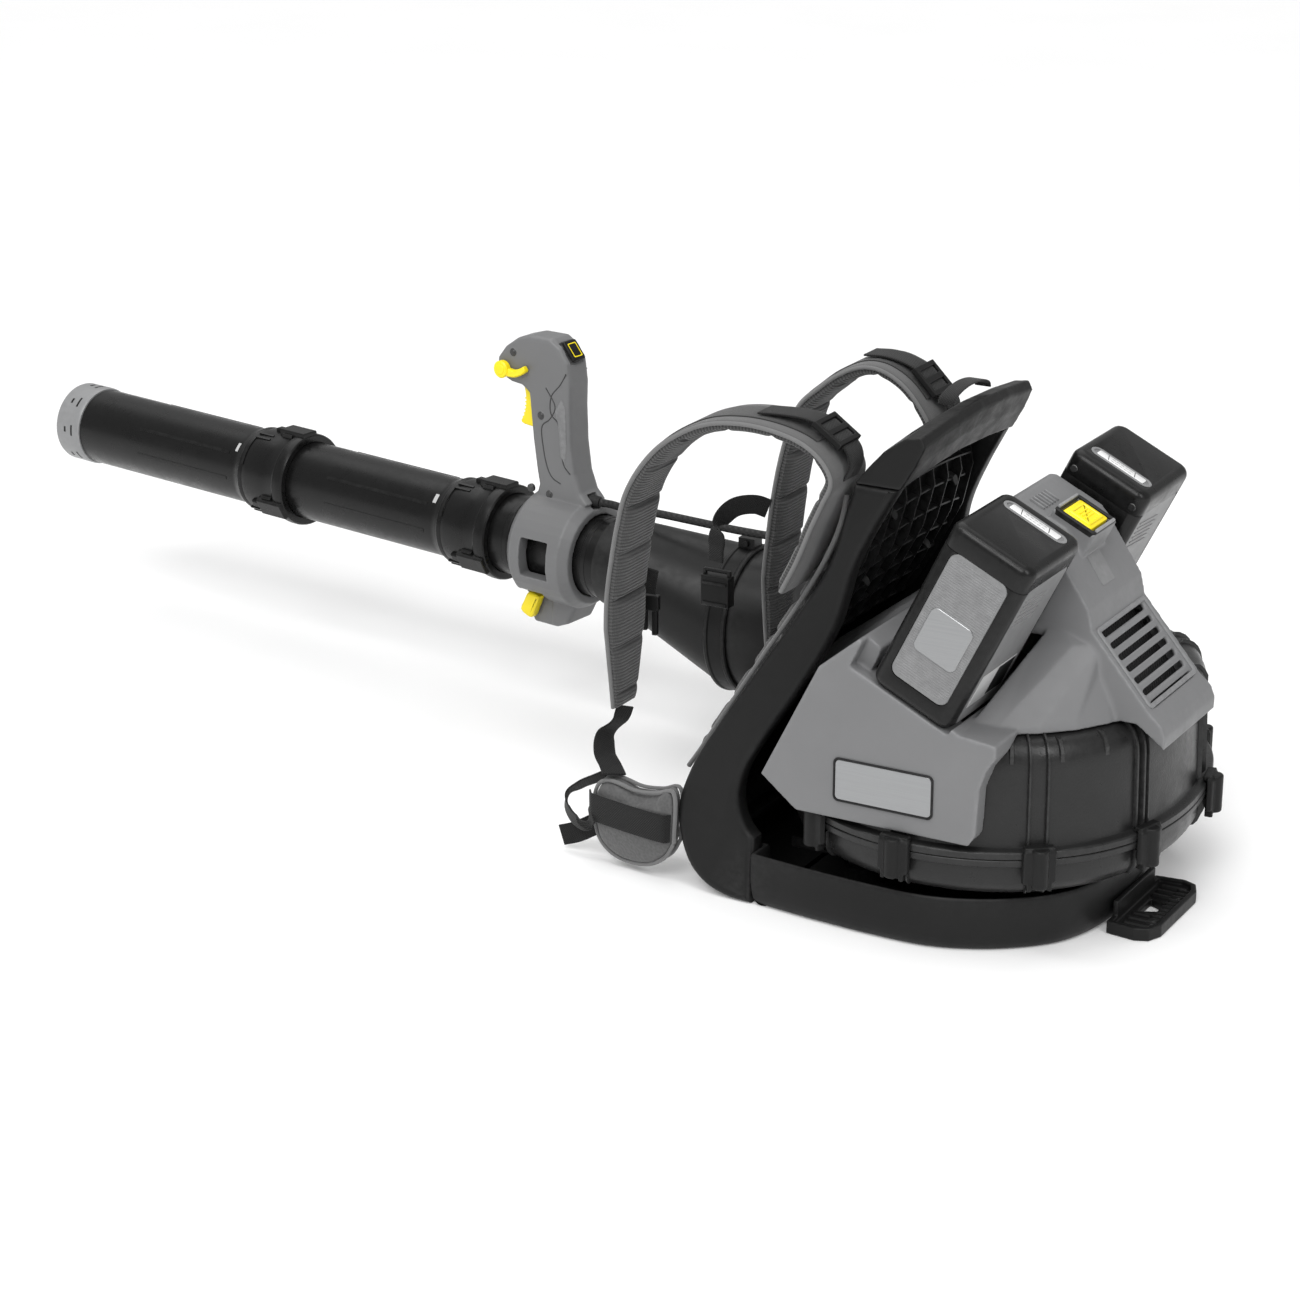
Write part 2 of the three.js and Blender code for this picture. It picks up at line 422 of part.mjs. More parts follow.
const skirtRing = (r, z, n = 28) => Array.from({ length: n }, (_, i) => { const a = i / n * 2 * Math.PI; return [DRUM.cx + r * Math.cos(a), r * Math.sin(a), z]; });
const topRing = (hx0, hx1, hy, z, n = 28) => Array.from({ length: n }, (_, i) => {
  const a = i / n * 2 * Math.PI, c = Math.cos(a), s = Math.sin(a), k = Math.pow(Math.pow(Math.abs(c), 5) + Math.pow(Math.abs(s), 5), -0.2);
  return [(hx0 + hx1) / 2 + (hx1 - hx0) / 2 * c * k, hy * s * k, z];
});
let outer = add(
  M(prismY(profA, -sideY, -131)), M(prismY(profB, -sideY, sideY)), M(prismY(profC, -bl, bl)),
  M(loft([skirtRing(154, 196.8), skirtRing(153, 203), topRing(-95, 108, 74, 262), topRing(-80, 92, 62, 272)])));
let inner = add(
  M(prismY(profAi, -sideY + COVER.wall, -128)), M(prismY(profBi, -sideY + COVER.wall, sideY - COVER.wall)), M(prismY(profCi, -bl + 3.4, bl - 3.4)),
  M(loft([skirtRing(149, 190), skirtRing(148.5, 202), topRing(-91, 104, 70, 258), topRing(-76, 88, 58, 266)])));
let cover = outer.subtract(inner);
// battery bays
const bayCut = (s) => {
  const a = prismZ([[-5, s * 62.5], [88, s * 62.5], [88, s * 240], [-5, s * 240]], ledgeW, 60);
  const b = prismZ([[-20, s * 162], [88, s * 162], [88, s * 260], [-20, s * 260]], ledgeW - 0.5, 60);
  return [M(inPack(a)), M(inPack(b))];
};
for (const s of [-1, 1]) cover = cut(cover, ...bayCut(s));
for (const s of [-1, 1]) cover = add(cover, M(inPack(prismZ([[-23, s * 152], [-3, s * 152], [-3, s * (sideY - 1)], [-23, s * (sideY - 1)]], ledgeW - 6, ledgeW - 0.5))));
// clearance for the housing under the cover
cover = cut(cover, M(loft([ringAt(6.5, 60), ringAt(6.5, 178), ringAt(10.5, 190), ringAt(22, DRUM.zTop + 0.4)])));
// cooling slots
for (let i = 0; i < 7; i++) {
  const t = (i + 0.5) / 7, x = 94 + (149 - 94) * t, z = 270 + (207 - 270) * t;
  const g = new THREE.BoxGeometry(5.6, 92, 40);
  g.rotateY(49 * Math.PI / 180 - Math.PI / 2 + Math.PI / 2);
  g.translate(x, 0, z);
  cover = cut(cover, M(g));
}
// latch pockets in the centre block
cover = add(cover, M(inPack(box(33, 76, -24.5, 24.5, -45, -13.5))));
cover = cut(cover, M(inPack(box(38, 71, -20.6, 20.6, -38, -5))));
const parts = cover.decompose ? cover.decompose() : [cover];
parts.sort((a, b) => b.volume() - a.volume());
node('top_cover', parts[0], MAT.cover);
{
  const s = add(M(box(39.5, 69.5, -19, 19, -26, -12)), M(box(43, 66, -15, 15, -33, -25.5)));
  node('battery_latch', inPack(G(s)), MAT.yellow);
}
// fine mesh behind the cooling slots
{
  const g = new THREE.BoxGeometry(80, 100, 1.6);
  g.rotateY(49 * Math.PI / 180);
  g.translate(114, 0, 231.5);
  node('vent_screen', g, MAT.dark);
}
// rating plate on the left side of the cover
{
  const g = prismZ(roundRect(94, 40, 5, 4), 0, 1.2);
  g.rotateX(Math.PI / 2);
  g.translate(-40, -sideY - GAP, 145);
  node('name_plate', g, MAT.plate);
}
// drive electronics
node('motor_controller', prismZ(roundRect(70, 76, 6, 3).map(([a, b]) => [a + 8, b]), 206, 236), MAT.steel);

// ---------------------------------------------------------------- outlet duct and clamp
function sec(x, cy, cz, a, b, n, seg = 24) {
  return Array.from({ length: seg }, (_, i) => {
    const t = i / seg * 2 * Math.PI, c = Math.cos(t), s = Math.sin(t), k = Math.pow(Math.pow(Math.abs(c), n) + Math.pow(Math.abs(s), n), -1 / n);
    return [x, cy + a * c * k, cz + b * s * k];
  });
}
const ductSecs = [[-160.6, 205, 125, 52.5, 66, 8], [-190, 205, 126, 52.5, 66, 5], [-235, 206, 127, 54, 66, 3], [-285, 206, 128, 62, 68, 2.2], [-330, 206, 128, 70, 70, 2], [-366, 205, 128, 71.5, 71.5, 2]];
const duct = cut(M(loft(ductSecs.map((q) => sec(...q)))),
  M(loft([[-155, 205, 125, 49, 62.5, 8], ...ductSecs.map(([x, y, z, a, b, n]) => [x, y, z, a - 3.5, b - 3.5, n]), [-372, 205, 128, 68, 68, 2]].map((q) => sec(...q)))));
node('outlet_duct', duct, MAT.drum);
{
  const ring = cut(M(loft([sec(-386, 205, 128, 75, 75, 2), sec(-362, 205, 128, 75, 75, 2)])), M(loft([sec(-390, 205, 128, 72.2, 72.2, 2), sec(-358, 205, 128, 72.2, 72.2, 2)])));
  const lug = M(box(-382, -366, 196, 214, 202.4, 213));
  node('hose_clamp', add(ring, lug), MAT.dark);
}
// flexible sleeve between the duct and the blow tube
const D = v3(TUBE.dx, TUBE.dy, TUBE.dz).normalize();
const E3 = v3(0, 0, 1).addScaledVector(D, -D.z).normalize();
const E2 = E3.clone().cross(D);
const tubePoint = (t, y, z) => v3(TUBE.px, TUBE.py, TUBE.pz).addScaledVector(D, t).addScaledVector(E2, y).addScaledVector(E3, z);
function tubeRing(t, r, seg = 24) {
  return Array.from({ length: seg }, (_, i) => {
    const a = i / seg * 2 * Math.PI; // same start and sense as sec()
    const p = tubePoint(t, -r * Math.cos(a), r * Math.sin(a));
    return [p.x, p.y, p.z];
  });
}
function mixRing(a, b, t) { return a.map((p, i) => [0, 1, 2].map((k) => p[k] + (b[i][k] - p[k]) * t)); }
function sleeve(big, small, x0, t1) {
  const A = sec(x0, 205, 128, big, big, 2), B = sec(-386, 205, 128, big, big, 2), C = tubeRing(0, small), E = tubeRing(t1, small);
  return loft([A, B, mixRing(B, C, 0.25), mixRing(B, C, 0.5), mixRing(B, C, 0.75), C, E]);
}
node('flex_sleeve', cut(M(sleeve(71.4, 45.6, -366.4, 22)), M(sleeve(68, 42.1, -360, 26))), MAT.tube);

// ---------------------------------------------------------------- blow tube (x' along the tube towards the nozzle, y' towards the left, z' up)
tubeGroup.matrixAutoUpdate = true;
tubeGroup.position.set(TUBE.px, TUBE.py, TUBE.pz);
tubeGroup.quaternion.setFromRotationMatrix(new THREE.Matrix4().makeBasis(D, E2, E3));
group.add(tubeGroup);
// profile points are [t, r]
function turn(profile, seg = SEG) {
  const g = new THREE.LatheGeometry([...profile, profile[0]].map(([t, r]) => new THREE.Vector2(r, t)), seg);
  g.rotateZ(-Math.PI / 2); // lathe axis +Y becomes +X
  return g;
}
const r0 = TUBE.r, ri = TUBE.r - TUBE.wall;
node('blow_tube_rear', turn([[2, ri], [215, ri], [215, r0 - 0.6], [212, r0], [5, r0], [2, r0 - 1]]), MAT.tube, tubeGroup);
function socketTube(t0, tNeck, t1, name, tail) {
  let s = M(turn([[t0, SOCKET.bore], [tNeck - 8, SOCKET.bore], [tNeck - 4, ri], [t1, ri], [t1, r0 - 0.6], [t1 - 3, r0], [tNeck + 4, r0], [tNeck, r0 + 2.6], [tNeck - 14, SOCKET.r - 1.5], [t0 + 14, SOCKET.r], [t0 + 6, SOCKET.r + 2.5], [t0, SOCKET.r + 2.5]]));
  for (const a of [90, 210, 330]) {
    const g = box(t0 + 2, t0 + 34, -9, 9, SOCKET.r - 2, SOCKET.r + 6);
    const b = box(t0 + 8, t0 + 44, -4, 4, SOCKET.r - 2, SOCKET.r + 3.5);
    for (const k of [g, b]) k.rotateX((a - 90) * Math.PI / 180);
    s = add(s, M(g), M(b));
  }
  if (tail) s = add(s, M(tail));
  node(name, s, MAT.tube, tubeGroup);
}
socketTube(158, 226, 492, 'blow_tube_middle');
socketTube(436, 505, 748, 'blow_tube_nozzle');
node('nozzle_ring', turn([[748.3, ri], [783, ri - 0.5], [783, r0 + 0.6], [780, r0 + 1.8], [752, r0 + 1.8], [748.3, r0 + 0.8]]), MAT.ring, tubeGroup);

// control handle: bracket round the tube, grip and head, moulded as one shell
const gripOutline = [[62, 40], [50, 56], [60, 66], [67.5, 84], [72.5, 114], [74.5, 150], [74.5, 175], [78, 197], [88, 211], [100, 218.3], [126, 217.5], [143, 212], [158, 201], [167, 189], [168, 179], [162, 170], [149, 165], [136, 164], [127, 158], [121.5, 112], [116, 80], [113, 66], [118, 48]];
let grip = M(prismY(gripOutline, -17, 17, 5));
grip = add(grip, M(turn([[48, 42.3], [126, 42.3], [126, 50], [118, 57], [58, 57], [48, 50]], 36)));
grip = add(grip, M(prismY([[60, -40], [60, -54], [70, -74], [84, -80], [112, -80], [120, -66], [120, -40]], -22, 22, 4)));
grip = cut(grip, M(turn([[40, 0], [140, 0], [140, 42.3], [40, 42.3]], 36)));
grip = cut(grip, M(box(72, 106, 30, 80, -20, 20)));                  // window on the left side
grip = cut(grip, M(box(97, 150, -9, 9, 110, 168)));                  // trigger slot
grip = cut(grip, M(box(40, 60.5, -7, 7, 49, 63.2)));                     // cable entry pocket
{
  const g = new THREE.BoxGeometry(24.6, 21, 8); g.rotateY(-50 * Math.PI / 180); g.translate(84, 0, 205.4);
  grip = cut(grip, M(g));
}
grip = cut(grip, M(box(88, 127, 21, 40, -79, -38)));
node('control_handle', grip, MAT.cover, tubeGroup);
{
  const s = add(M(prismY([[139.5, 162.4], [137.5, 150], [138, 138], [143, 125.5], [138, 121.5], [119, 120.5], [112, 140], [112, 163.4], [133, 163.4]], -8, 8, 1.5)));
  node('throttle_trigger', s, MAT.yellow, tubeGroup);
  const hub = cylY(8.8, 156.5, 178.7, 17.4, 25), arm = prismY([[156, 173], [140, 172.5], [128, 177], [125, 183], [129, 186], [142, 181], [156, 184]], 18.2, 23.5, 1);
  node('cruise_lever', add(M(hub), M(arm)), MAT.yellow, tubeGroup);
  const g = new THREE.BoxGeometry(24, 20.4, 6); g.rotateY(-50 * Math.PI / 180); g.translate(83.4, 0, 205.9);
  node('boost_button', g, MAT.dark, tubeGroup);
  const knob = add(M(prismY([[97, -47], [112, -45], [122, -66], [108, -72]], 22.6, 33, 2.5)), M(cylY(6, 109, -58, 21.3, 26)));
  node('clamp_lever', knob, MAT.yellow, tubeGroup);
}

// control cable between the handle and the unit, with its two glands
const gl = turn([[46, 0], [60, 0], [60, 6.5], [52, 6], [46, 5]], 14);
gl.translate(0, 0, 56);
node('cable_gland_handle', gl, MAT.rubber, tubeGroup);
const glandUnit = cylZ(9, -318, 190, 198.2, 208.6, 14, 6.5);
node('cable_gland_unit', glandUnit, MAT.rubber);
const start = tubePoint(45.4, 0, 56);
const cablePts = [[start.x, start.y, start.z], [start.x + 12, start.y - 0.5, start.z + 0.2], [-500, 173, 231], [-463, 175, 230.5], [-425, 178, 228], [-385, 183, 224.5], [-358, 186, 223], [-338, 188, 222], [-325, 189.6, 219], [-318.6, 190, 214.5], [-318, 190, 210.2]];
const cableCurve = new THREE.CatmullRomCurve3(cablePts.map((p) => v3(...p)), false, 'centripetal');
const cableSection = new THREE.Shape(Array.from({ length: 8 }, (_, i) => new THREE.Vector2(4 * Math.cos(i * Math.PI / 4), 4 * Math.sin(i * Math.PI / 4))));
node('control_cable', new THREE.ExtrudeGeometry(cableSection, { steps: 26, extrudePath: cableCurve, bevelEnabled: false }), MAT.rubber);

export default group;
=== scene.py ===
import bpy
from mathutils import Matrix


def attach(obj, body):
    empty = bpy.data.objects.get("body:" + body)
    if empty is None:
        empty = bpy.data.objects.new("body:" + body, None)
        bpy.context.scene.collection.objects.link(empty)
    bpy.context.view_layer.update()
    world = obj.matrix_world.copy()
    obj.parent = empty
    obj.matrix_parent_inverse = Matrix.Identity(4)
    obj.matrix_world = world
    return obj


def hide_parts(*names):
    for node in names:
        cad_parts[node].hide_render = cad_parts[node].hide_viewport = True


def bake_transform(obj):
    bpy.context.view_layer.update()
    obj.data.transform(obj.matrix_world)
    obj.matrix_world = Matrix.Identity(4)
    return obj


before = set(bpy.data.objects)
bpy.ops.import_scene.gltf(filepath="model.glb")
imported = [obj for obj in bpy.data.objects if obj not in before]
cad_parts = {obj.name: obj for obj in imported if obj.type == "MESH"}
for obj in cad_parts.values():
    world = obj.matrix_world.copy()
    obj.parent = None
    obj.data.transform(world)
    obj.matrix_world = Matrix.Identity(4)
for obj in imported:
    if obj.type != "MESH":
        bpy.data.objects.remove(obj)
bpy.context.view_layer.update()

import bpy, bmesh, math
import numpy as np
from mathutils import Vector, Matrix

# Lengths below are in millimetres and become metres when a mesh is made.
S = 0.001
scene = bpy.context.scene
rad = math.radians

# ------------------------------------------------------------------ camera
cam_data = bpy.data.cameras.new("camera")
cam_data.lens, cam_data.sensor_width = 88.615, 36
cam_data.clip_start, cam_data.clip_end = 0.05, 60
cam = bpy.data.objects.new("camera", cam_data)
cam.location = (1.049, -2.458, 1.162)
cam.rotation_euler = (rad(70.5), 0, rad(30))
scene.collection.objects.link(cam)
scene.camera = cam

# ------------------------------------------------------------------ materials
def mat_base(name):
    m = bpy.data.materials.new(name)
    m.use_nodes = True
    nt = m.node_tree
    nt.nodes.clear()
    out = nt.nodes.new("ShaderNodeOutputMaterial")
    b = nt.nodes.new("ShaderNodeBsdfPrincipled")
    nt.links.new(b.outputs[0], out.inputs[0])
    return m, nt, b

def N(nt, kind, **kw):
    n = nt.nodes.new(kind)
    for k, v in kw.items():
        if k.startswith("_"):
            n.inputs[k[1:].replace("_", " ")].default_value = v
        else:
            setattr(n, k, v)
    return n

def math_(nt, op, a, b=None):
    n = nt.nodes.new("ShaderNodeMath")
    n.operation = op
    for i, x in enumerate((a, b)):
        if x is None:
            continue
        if isinstance(x, (int, float)):
            n.inputs[i].default_value = x
        else:
            nt.links.new(x, n.inputs[i])
    return n.outputs[0]

def remap(nt, x, a, b, c, d):
    n = nt.nodes.new("ShaderNodeMapRange")
    nt.links.new(x, n.inputs["Value"])
    for k, v in (("From Min", a), ("From Max", b), ("To Min", c), ("To Max", d)):
        n.inputs[k].default_value = v
    return n.outputs[0]

def mixc(nt, f, a, b):
    n = nt.nodes.new("ShaderNodeMix")
    n.data_type = "RGBA"
    nt.links.new(f, n.inputs[0])
    for i, x in ((6, a), (7, b)):
        if isinstance(x, tuple):
            n.inputs[i].default_value = (*x, 1)
        else:
            nt.links.new(x, n.inputs[i])
    return n.outputs[2]

def noise(nt, vec, scale, detail=3.0, rough=0.55):
    n = N(nt, "ShaderNodeTexNoise", _Scale=scale, _Detail=detail, _Roughness=rough)
    nt.links.new(vec, n.inputs["Vector"])
    return n.outputs[0]

def mapping(nt, vec, scale=(1, 1, 1), rot=(0, 0, 0)):
    n = nt.nodes.new("ShaderNodeMapping")
    n.inputs["Scale"].default_value = scale
    n.inputs["Rotation"].default_value = rot
    nt.links.new(vec, n.inputs["Vector"])
    return n.outputs[0]

def bump(nt, b, height, strength, distance):
    n = nt.nodes.new("ShaderNodeBump")
    n.inputs["Strength"].default_value = strength
    n.inputs["Distance"].default_value = distance
    nt.links.new(height, n.inputs["Height"])
    nt.links.new(n.outputs[0], b.inputs["Normal"])

def g3(v):
    return (v, v, v)

def plastic(name, col, rough=0.45, grain=900, depth=0.00012, strength=0.35, var=0.10, edge=0.30, coat=0.0, spec=0.5, dust=0.0):
    m, nt, b = mat_base(name)
    tc = nt.nodes.new("ShaderNodeTexCoord").outputs["Object"]
    big = noise(nt, tc, 9, 4)
    lo = tuple(c * (1 - var) for c in col)
    hi = tuple(min(1, c * (1 + var)) for c in col)
    c = mixc(nt, remap(nt, big, 0.3, 0.7, 0, 1), lo, hi)
    geo = nt.nodes.new("ShaderNodeNewGeometry")
    fine = noise(nt, tc, 160, 5)
    wear = math_(nt, "MULTIPLY", remap(nt, geo.outputs["Pointiness"], 0.505, 0.57, 0, 1), remap(nt, fine, 0.35, 0.7, 0.15, 1))
    wear = math_(nt, "MULTIPLY", wear, edge)
    light = tuple(min(1, c2 * 1.7 + 0.06) for c2 in col)
    c = mixc(nt, wear, c, light)
    nt.links.new(c, b.inputs["Base Color"])
    r = math_(nt, "ADD", remap(nt, noise(nt, tc, 45, 4), 0.3, 0.7, rough - 0.06, rough + 0.06), remap(nt, fine, 0.3, 0.7, -0.03, 0.05))
    nt.links.new(r, b.inputs["Roughness"])
    b.inputs["Specular IOR Level"].default_value = spec
    b.inputs["Coat Weight"].default_value = coat
    b.inputs["Coat Roughness"].default_value = 0.18
    h = math_(nt, "ADD", noise(nt, tc, grain, 2), math_(nt, "MULTIPLY", noise(nt, tc, grain * 0.22, 2), 0.6))
    bump(nt, b, h, strength, depth)
    return m

def weave(nt, vec, fx, fy):
    """Crossed sine pattern, periods in metres along the first two coordinates."""
    sep = nt.nodes.new("ShaderNodeSeparateXYZ")
    nt.links.new(vec, sep.inputs[0])
    a = math_(nt, "SINE", math_(nt, "MULTIPLY", sep.outputs[0], 2 * math.pi / fx))
    c = math_(nt, "SINE", math_(nt, "MULTIPLY", sep.outputs[1], 2 * math.pi / fy))
    return a, c

def fabric_uv(name, col, fx, fy, rough=0.9, strength=0.8, depth=0.0004, contrast=0.35, ribs=False, sheen=0.3):
    """Woven or ribbed cloth on a band with its own length and width coordinates in metres."""
    m, nt, b = mat_base(name)
    uv = nt.nodes.new("ShaderNodeTexCoord").outputs["UV"]
    ob = nt.nodes.new("ShaderNodeTexCoord").outputs["Object"]
    a, c = weave(nt, uv, fx, fy)
    if ribs:
        h = math_(nt, "ADD", a, math_(nt, "MULTIPLY", c, 0.18))
        h = remap(nt, h, -1.1, 1.1, 0, 1)
    else:
        h = remap(nt, math_(nt, "MULTIPLY", a, c), -1, 1, 0, 1)
    dirt = noise(nt, ob, 60, 4)
    lo = tuple(x * (1 - contrast) for x in col)
    hi = tuple(min(1, x * (1 + contrast)) for x in col)
    f = math_(nt, "ADD", math_(nt, "MULTIPLY", h, 0.75), math_(nt, "MULTIPLY", dirt, 0.25))
    nt.links.new(mixc(nt, f, lo, hi), b.inputs["Base Color"])
    nt.links.new(remap(nt, h, 0, 1, rough + 0.06, rough - 0.08), b.inputs["Roughness"])
    b.inputs["Sheen Weight"].default_value = sheen
    b.inputs["Sheen Roughness"].default_value = 0.5
    b.inputs["Specular IOR Level"].default_value = 0.25
    h2 = math_(nt, "ADD", h, math_(nt, "MULTIPLY", noise(nt, ob, 1500, 2), 0.35))
    bump(nt, b, h2, strength, depth)
    return m

def fabric_ob(name, col, period, rough=0.9, strength=0.7, depth=0.0004, contrast=0.3, sheen=0.25, grain=False, axes=(0, 2)):
    """Cloth or grained cover on a free shape, drawn from object coordinates."""
    m, nt, b = mat_base(name)
    ob = nt.nodes.new("ShaderNodeTexCoord").outputs["Object"]
    if grain:
        v = N(nt, "ShaderNodeTexVoronoi", _Scale=1 / period)
        v.feature = "SMOOTH_F1"
        nt.links.new(ob, v.inputs["Vector"])
        h = remap(nt, v.outputs["Distance"], 0.0, 0.8, 0, 1)
    else:
        sep = nt.nodes.new("ShaderNodeSeparateXYZ")
        nt.links.new(mapping(nt, ob, rot=(0, rad(12), 0)), sep.inputs[0])
        k = 2 * math.pi / period
        p = math_(nt, "SINE", math_(nt, "MULTIPLY", math_(nt, "ADD", sep.outputs[0], sep.outputs[2]), k))
        q = math_(nt, "SINE", math_(nt, "MULTIPLY", math_(nt, "ADD", sep.outputs[1], math_(nt, "MULTIPLY", sep.outputs[2], -1.0)), k))
        h = remap(nt, math_(nt, "MULTIPLY", p, q), -1, 1, 0, 1)
    dirt = noise(nt, ob, 40, 4)
    lo = tuple(x * (1 - contrast) for x in col)
    hi = tuple(min(1, x * (1 + contrast)) for x in col)
    f = math_(nt, "ADD", math_(nt, "MULTIPLY", h, 0.7), math_(nt, "MULTIPLY", dirt, 0.3))
    nt.links.new(mixc(nt, f, lo, hi), b.inputs["Base Color"])
    nt.links.new(remap(nt, dirt, 0.3, 0.7, rough - 0.05, rough + 0.05), b.inputs["Roughness"])
    b.inputs["Sheen Weight"].default_value = sheen
    b.inputs["Specular IOR Level"].default_value = 0.3
    bump(nt, b, math_(nt, "ADD", h, math_(nt, "MULTIPLY", noise(nt, ob, 1200, 2), 0.4)), strength, depth)
    return m

def metal(name, col, rough=0.3, brush=(12, 12, 900), depth=0.00005):
    m, nt, b = mat_base(name)
    ob = nt.nodes.new("ShaderNodeTexCoord").outputs["Object"]
    n = noise(nt, mapping(nt, ob, scale=brush), 1.0, 4, 0.7)
    nt.links.new(mixc(nt, n, tuple(c * 0.75 for c in col), tuple(min(1, c * 1.15) for c in col)), b.inputs["Base Color"])
    nt.links.new(remap(nt, n, 0.2, 0.8, rough - 0.08, rough + 0.15), b.inputs["Roughness"])
    b.inputs["Metallic"].default_value = 1.0
    bump(nt, b, n, 0.4, depth)
    return m

FRAME = plastic("moulded_frame", g3(0.0085), 0.44, grain=1000, strength=0.5, edge=0.22, var=0.15, spec=0.20)
DRUM = plastic("moulded_drum", g3(0.0145), 0.33, grain=520, depth=0.00030, strength=0.6, edge=0.25, var=0.12, spec=0.30)
COVER = plastic("moulded_cover", (0.165, 0.166, 0.169), 0.46, grain=800, strength=0.45, edge=0.38, var=0.05, spec=0.35)
HANDLE = plastic("moulded_handle", (0.150, 0.151, 0.153), 0.42, edge=0.42, var=0.05, spec=0.35)
DARK = plastic("moulded_dark", g3(0.0055), 0.42, edge=0.25, spec=0.20)
TUBE = plastic("tube_satin", g3(0.0045), 0.30, grain=1300, depth=0.00004, strength=0.2, edge=0.12, var=0.15, spec=0.24)
SLEEVE = plastic("sleeve_satin", g3(0.0085), 0.40, grain=900, depth=0.00008, edge=0.15, spec=0.24)
RING = plastic("ring_grey", (0.22, 0.222, 0.225), 0.42, edge=0.3, var=0.06)
YELLOW = plastic("yellow_gloss", (0.90, 0.72, 0.004), 0.34, grain=700, depth=0.00005, var=0.05, edge=0.0)
PACK = plastic("pack_black", g3(0.0048), 0.30, grain=1200, depth=0.00005, strength=0.3, edge=0.16, spec=0.24)
PACKGREY = plastic("pack_grey", (0.175, 0.176, 0.178), 0.40, edge=0.3, var=0.05, spec=0.30)
WHITE = plastic("gauge_white", g3(0.72), 0.25, grain=1200, depth=0.00003, var=0.03, edge=0.0)
MARK = plastic("print_silver", g3(0.45), 0.35, grain=1200, depth=0.00003, var=0.08, edge=0.0)
RUBBER = plastic("rubber", g3(0.012), 0.62, grain=1200, depth=0.0001, edge=0.1, spec=0.35)
STEEL = metal("steel_brushed", g3(0.55), 0.32)
PLATE = metal("plate_brushed", (0.34, 0.345, 0.35), 0.36, brush=(14, 14, 1300), depth=0.0001)
# dark colour for the grip lines: painted shade of the grip grooves
GROOVE_SHADE = plastic("groove_painted_shade", g3(0.035), 0.5, edge=0.1)
SCREW = metal("screw_dark", g3(0.09), 0.35, brush=(300, 300, 300))
STRAP_IN = fabric_uv("strap_mesh", g3(0.060), 0.0032, 0.0016, strength=1.0, depth=0.0008, contrast=0.45, ribs=True)
STRAP_OUT = fabric_uv("strap_cloth", g3(0.085), 0.0016, 0.0016, strength=0.8, depth=0.0003, contrast=0.35)
STRAP_TOP = fabric_uv("strap_top", g3(0.022), 0.0018, 0.0018, strength=0.8, depth=0.0003, contrast=0.5)
WEBBING = fabric_uv("webbing", g3(0.010), 0.0022, 0.0026, strength=0.9, depth=0.0004, contrast=0.55, sheen=0.12)
PIPING = fabric_uv("piping", g3(0.15), 0.0014, 0.0014, strength=0.6, depth=0.0002, contrast=0.25)
CUSHION = fabric_ob("cushion_mesh", g3(0.030), 0.0034, strength=0.9, depth=0.0006, contrast=0.5)
HIP = fabric_ob("hip_cloth", g3(0.085), 0.0024, rough=0.62, strength=0.55, depth=0.0005, grain=True, contrast=0.3)
CABLE = fabric_uv("cable_braid", g3(0.016), 0.0060, 0.0080, rough=0.55, strength=0.9, depth=0.0006, contrast=0.5, sheen=0.05)

# ------------------------------------------------------------------ mesh helpers
def link(o):
    scene.collection.objects.link(o)
    return o

def raw(name, geo):
    verts, faces = geo[0], geo[1]
    me = bpy.data.meshes.new(name)
    me.from_pydata([(float(v[0]) * S, float(v[1]) * S, float(v[2]) * S) for v in verts], [], faces)
    me.update()
    bm = bmesh.new()
    bm.from_mesh(me)
    bmesh.ops.recalc_face_normals(bm, faces=bm.faces)
    bm.to_mesh(me)
    bm.free()
    o = link(bpy.data.objects.new(name, me))
    if len(geo) > 2 and geo[2] is not None:
        layer = me.uv_layers.new(name="UVMap")
        for li, loop in enumerate(me.loops):
            u, v = geo[2][loop.vertex_index]
            layer.data[li].uv = (u * S, v * S)
    return o

def from_node(name, node):
    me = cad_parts[node].data.copy()
    me.materials.clear()
    o = link(bpy.data.objects.new(name, me))
    bm = bmesh.new()
    bm.from_mesh(me)
    bmesh.ops.remove_doubles(bm, verts=bm.verts, dist=2e-5)
    bmesh.ops.recalc_face_normals(bm, faces=bm.faces)
    bm.to_mesh(me)
    bm.free()
    return o

def apply(o):
    dg = bpy.context.evaluated_depsgraph_get()
    me = bpy.data.meshes.new_from_object(o.evaluated_get(dg))
    o.modifiers.clear()
    old, o.data = o.data, me
    bpy.data.meshes.remove(old)
    return o

def boolean(o, cutters, op="DIFFERENCE"):
    for c in cutters:
        m = o.modifiers.new("b", "BOOLEAN")
        m.operation, m.object, m.solver = op, c, "EXACT"
    apply(o)
    for c in cutters:
        bpy.data.objects.remove(c)
    return o

def merge(objs, name):
    bm = bmesh.new()
    for ob in objs:
        bm.from_mesh(ob.data)
    me = bpy.data.meshes.new(name)
    bm.to_mesh(me)
    bm.free()
    for ob in objs:
        bpy.data.objects.remove(ob)
    return link(bpy.data.objects.new(name, me))

def remesh(o, voxel, smooth=4, factor=0.5, decimate=None):
    m = o.modifiers.new("r", "REMESH")
    m.mode, m.voxel_size, m.adaptivity, m.use_smooth_shade = "VOXEL", voxel * S, 0, True
    if smooth:
        s = o.modifiers.new("s", "SMOOTH")
        s.factor, s.iterations = factor, smooth
    if decimate:
        d = o.modifiers.new("d", "DECIMATE")
        d.ratio = decimate
    return apply(o)

def bevel(o, width, seg=2, angle=35):
    m = o.modifiers.new("bv", "BEVEL")
    m.width, m.segments, m.limit_method, m.angle_limit = width * S, seg, "ANGLE", rad(angle)
    m.use_clamp_overlap = True
    return apply(o)

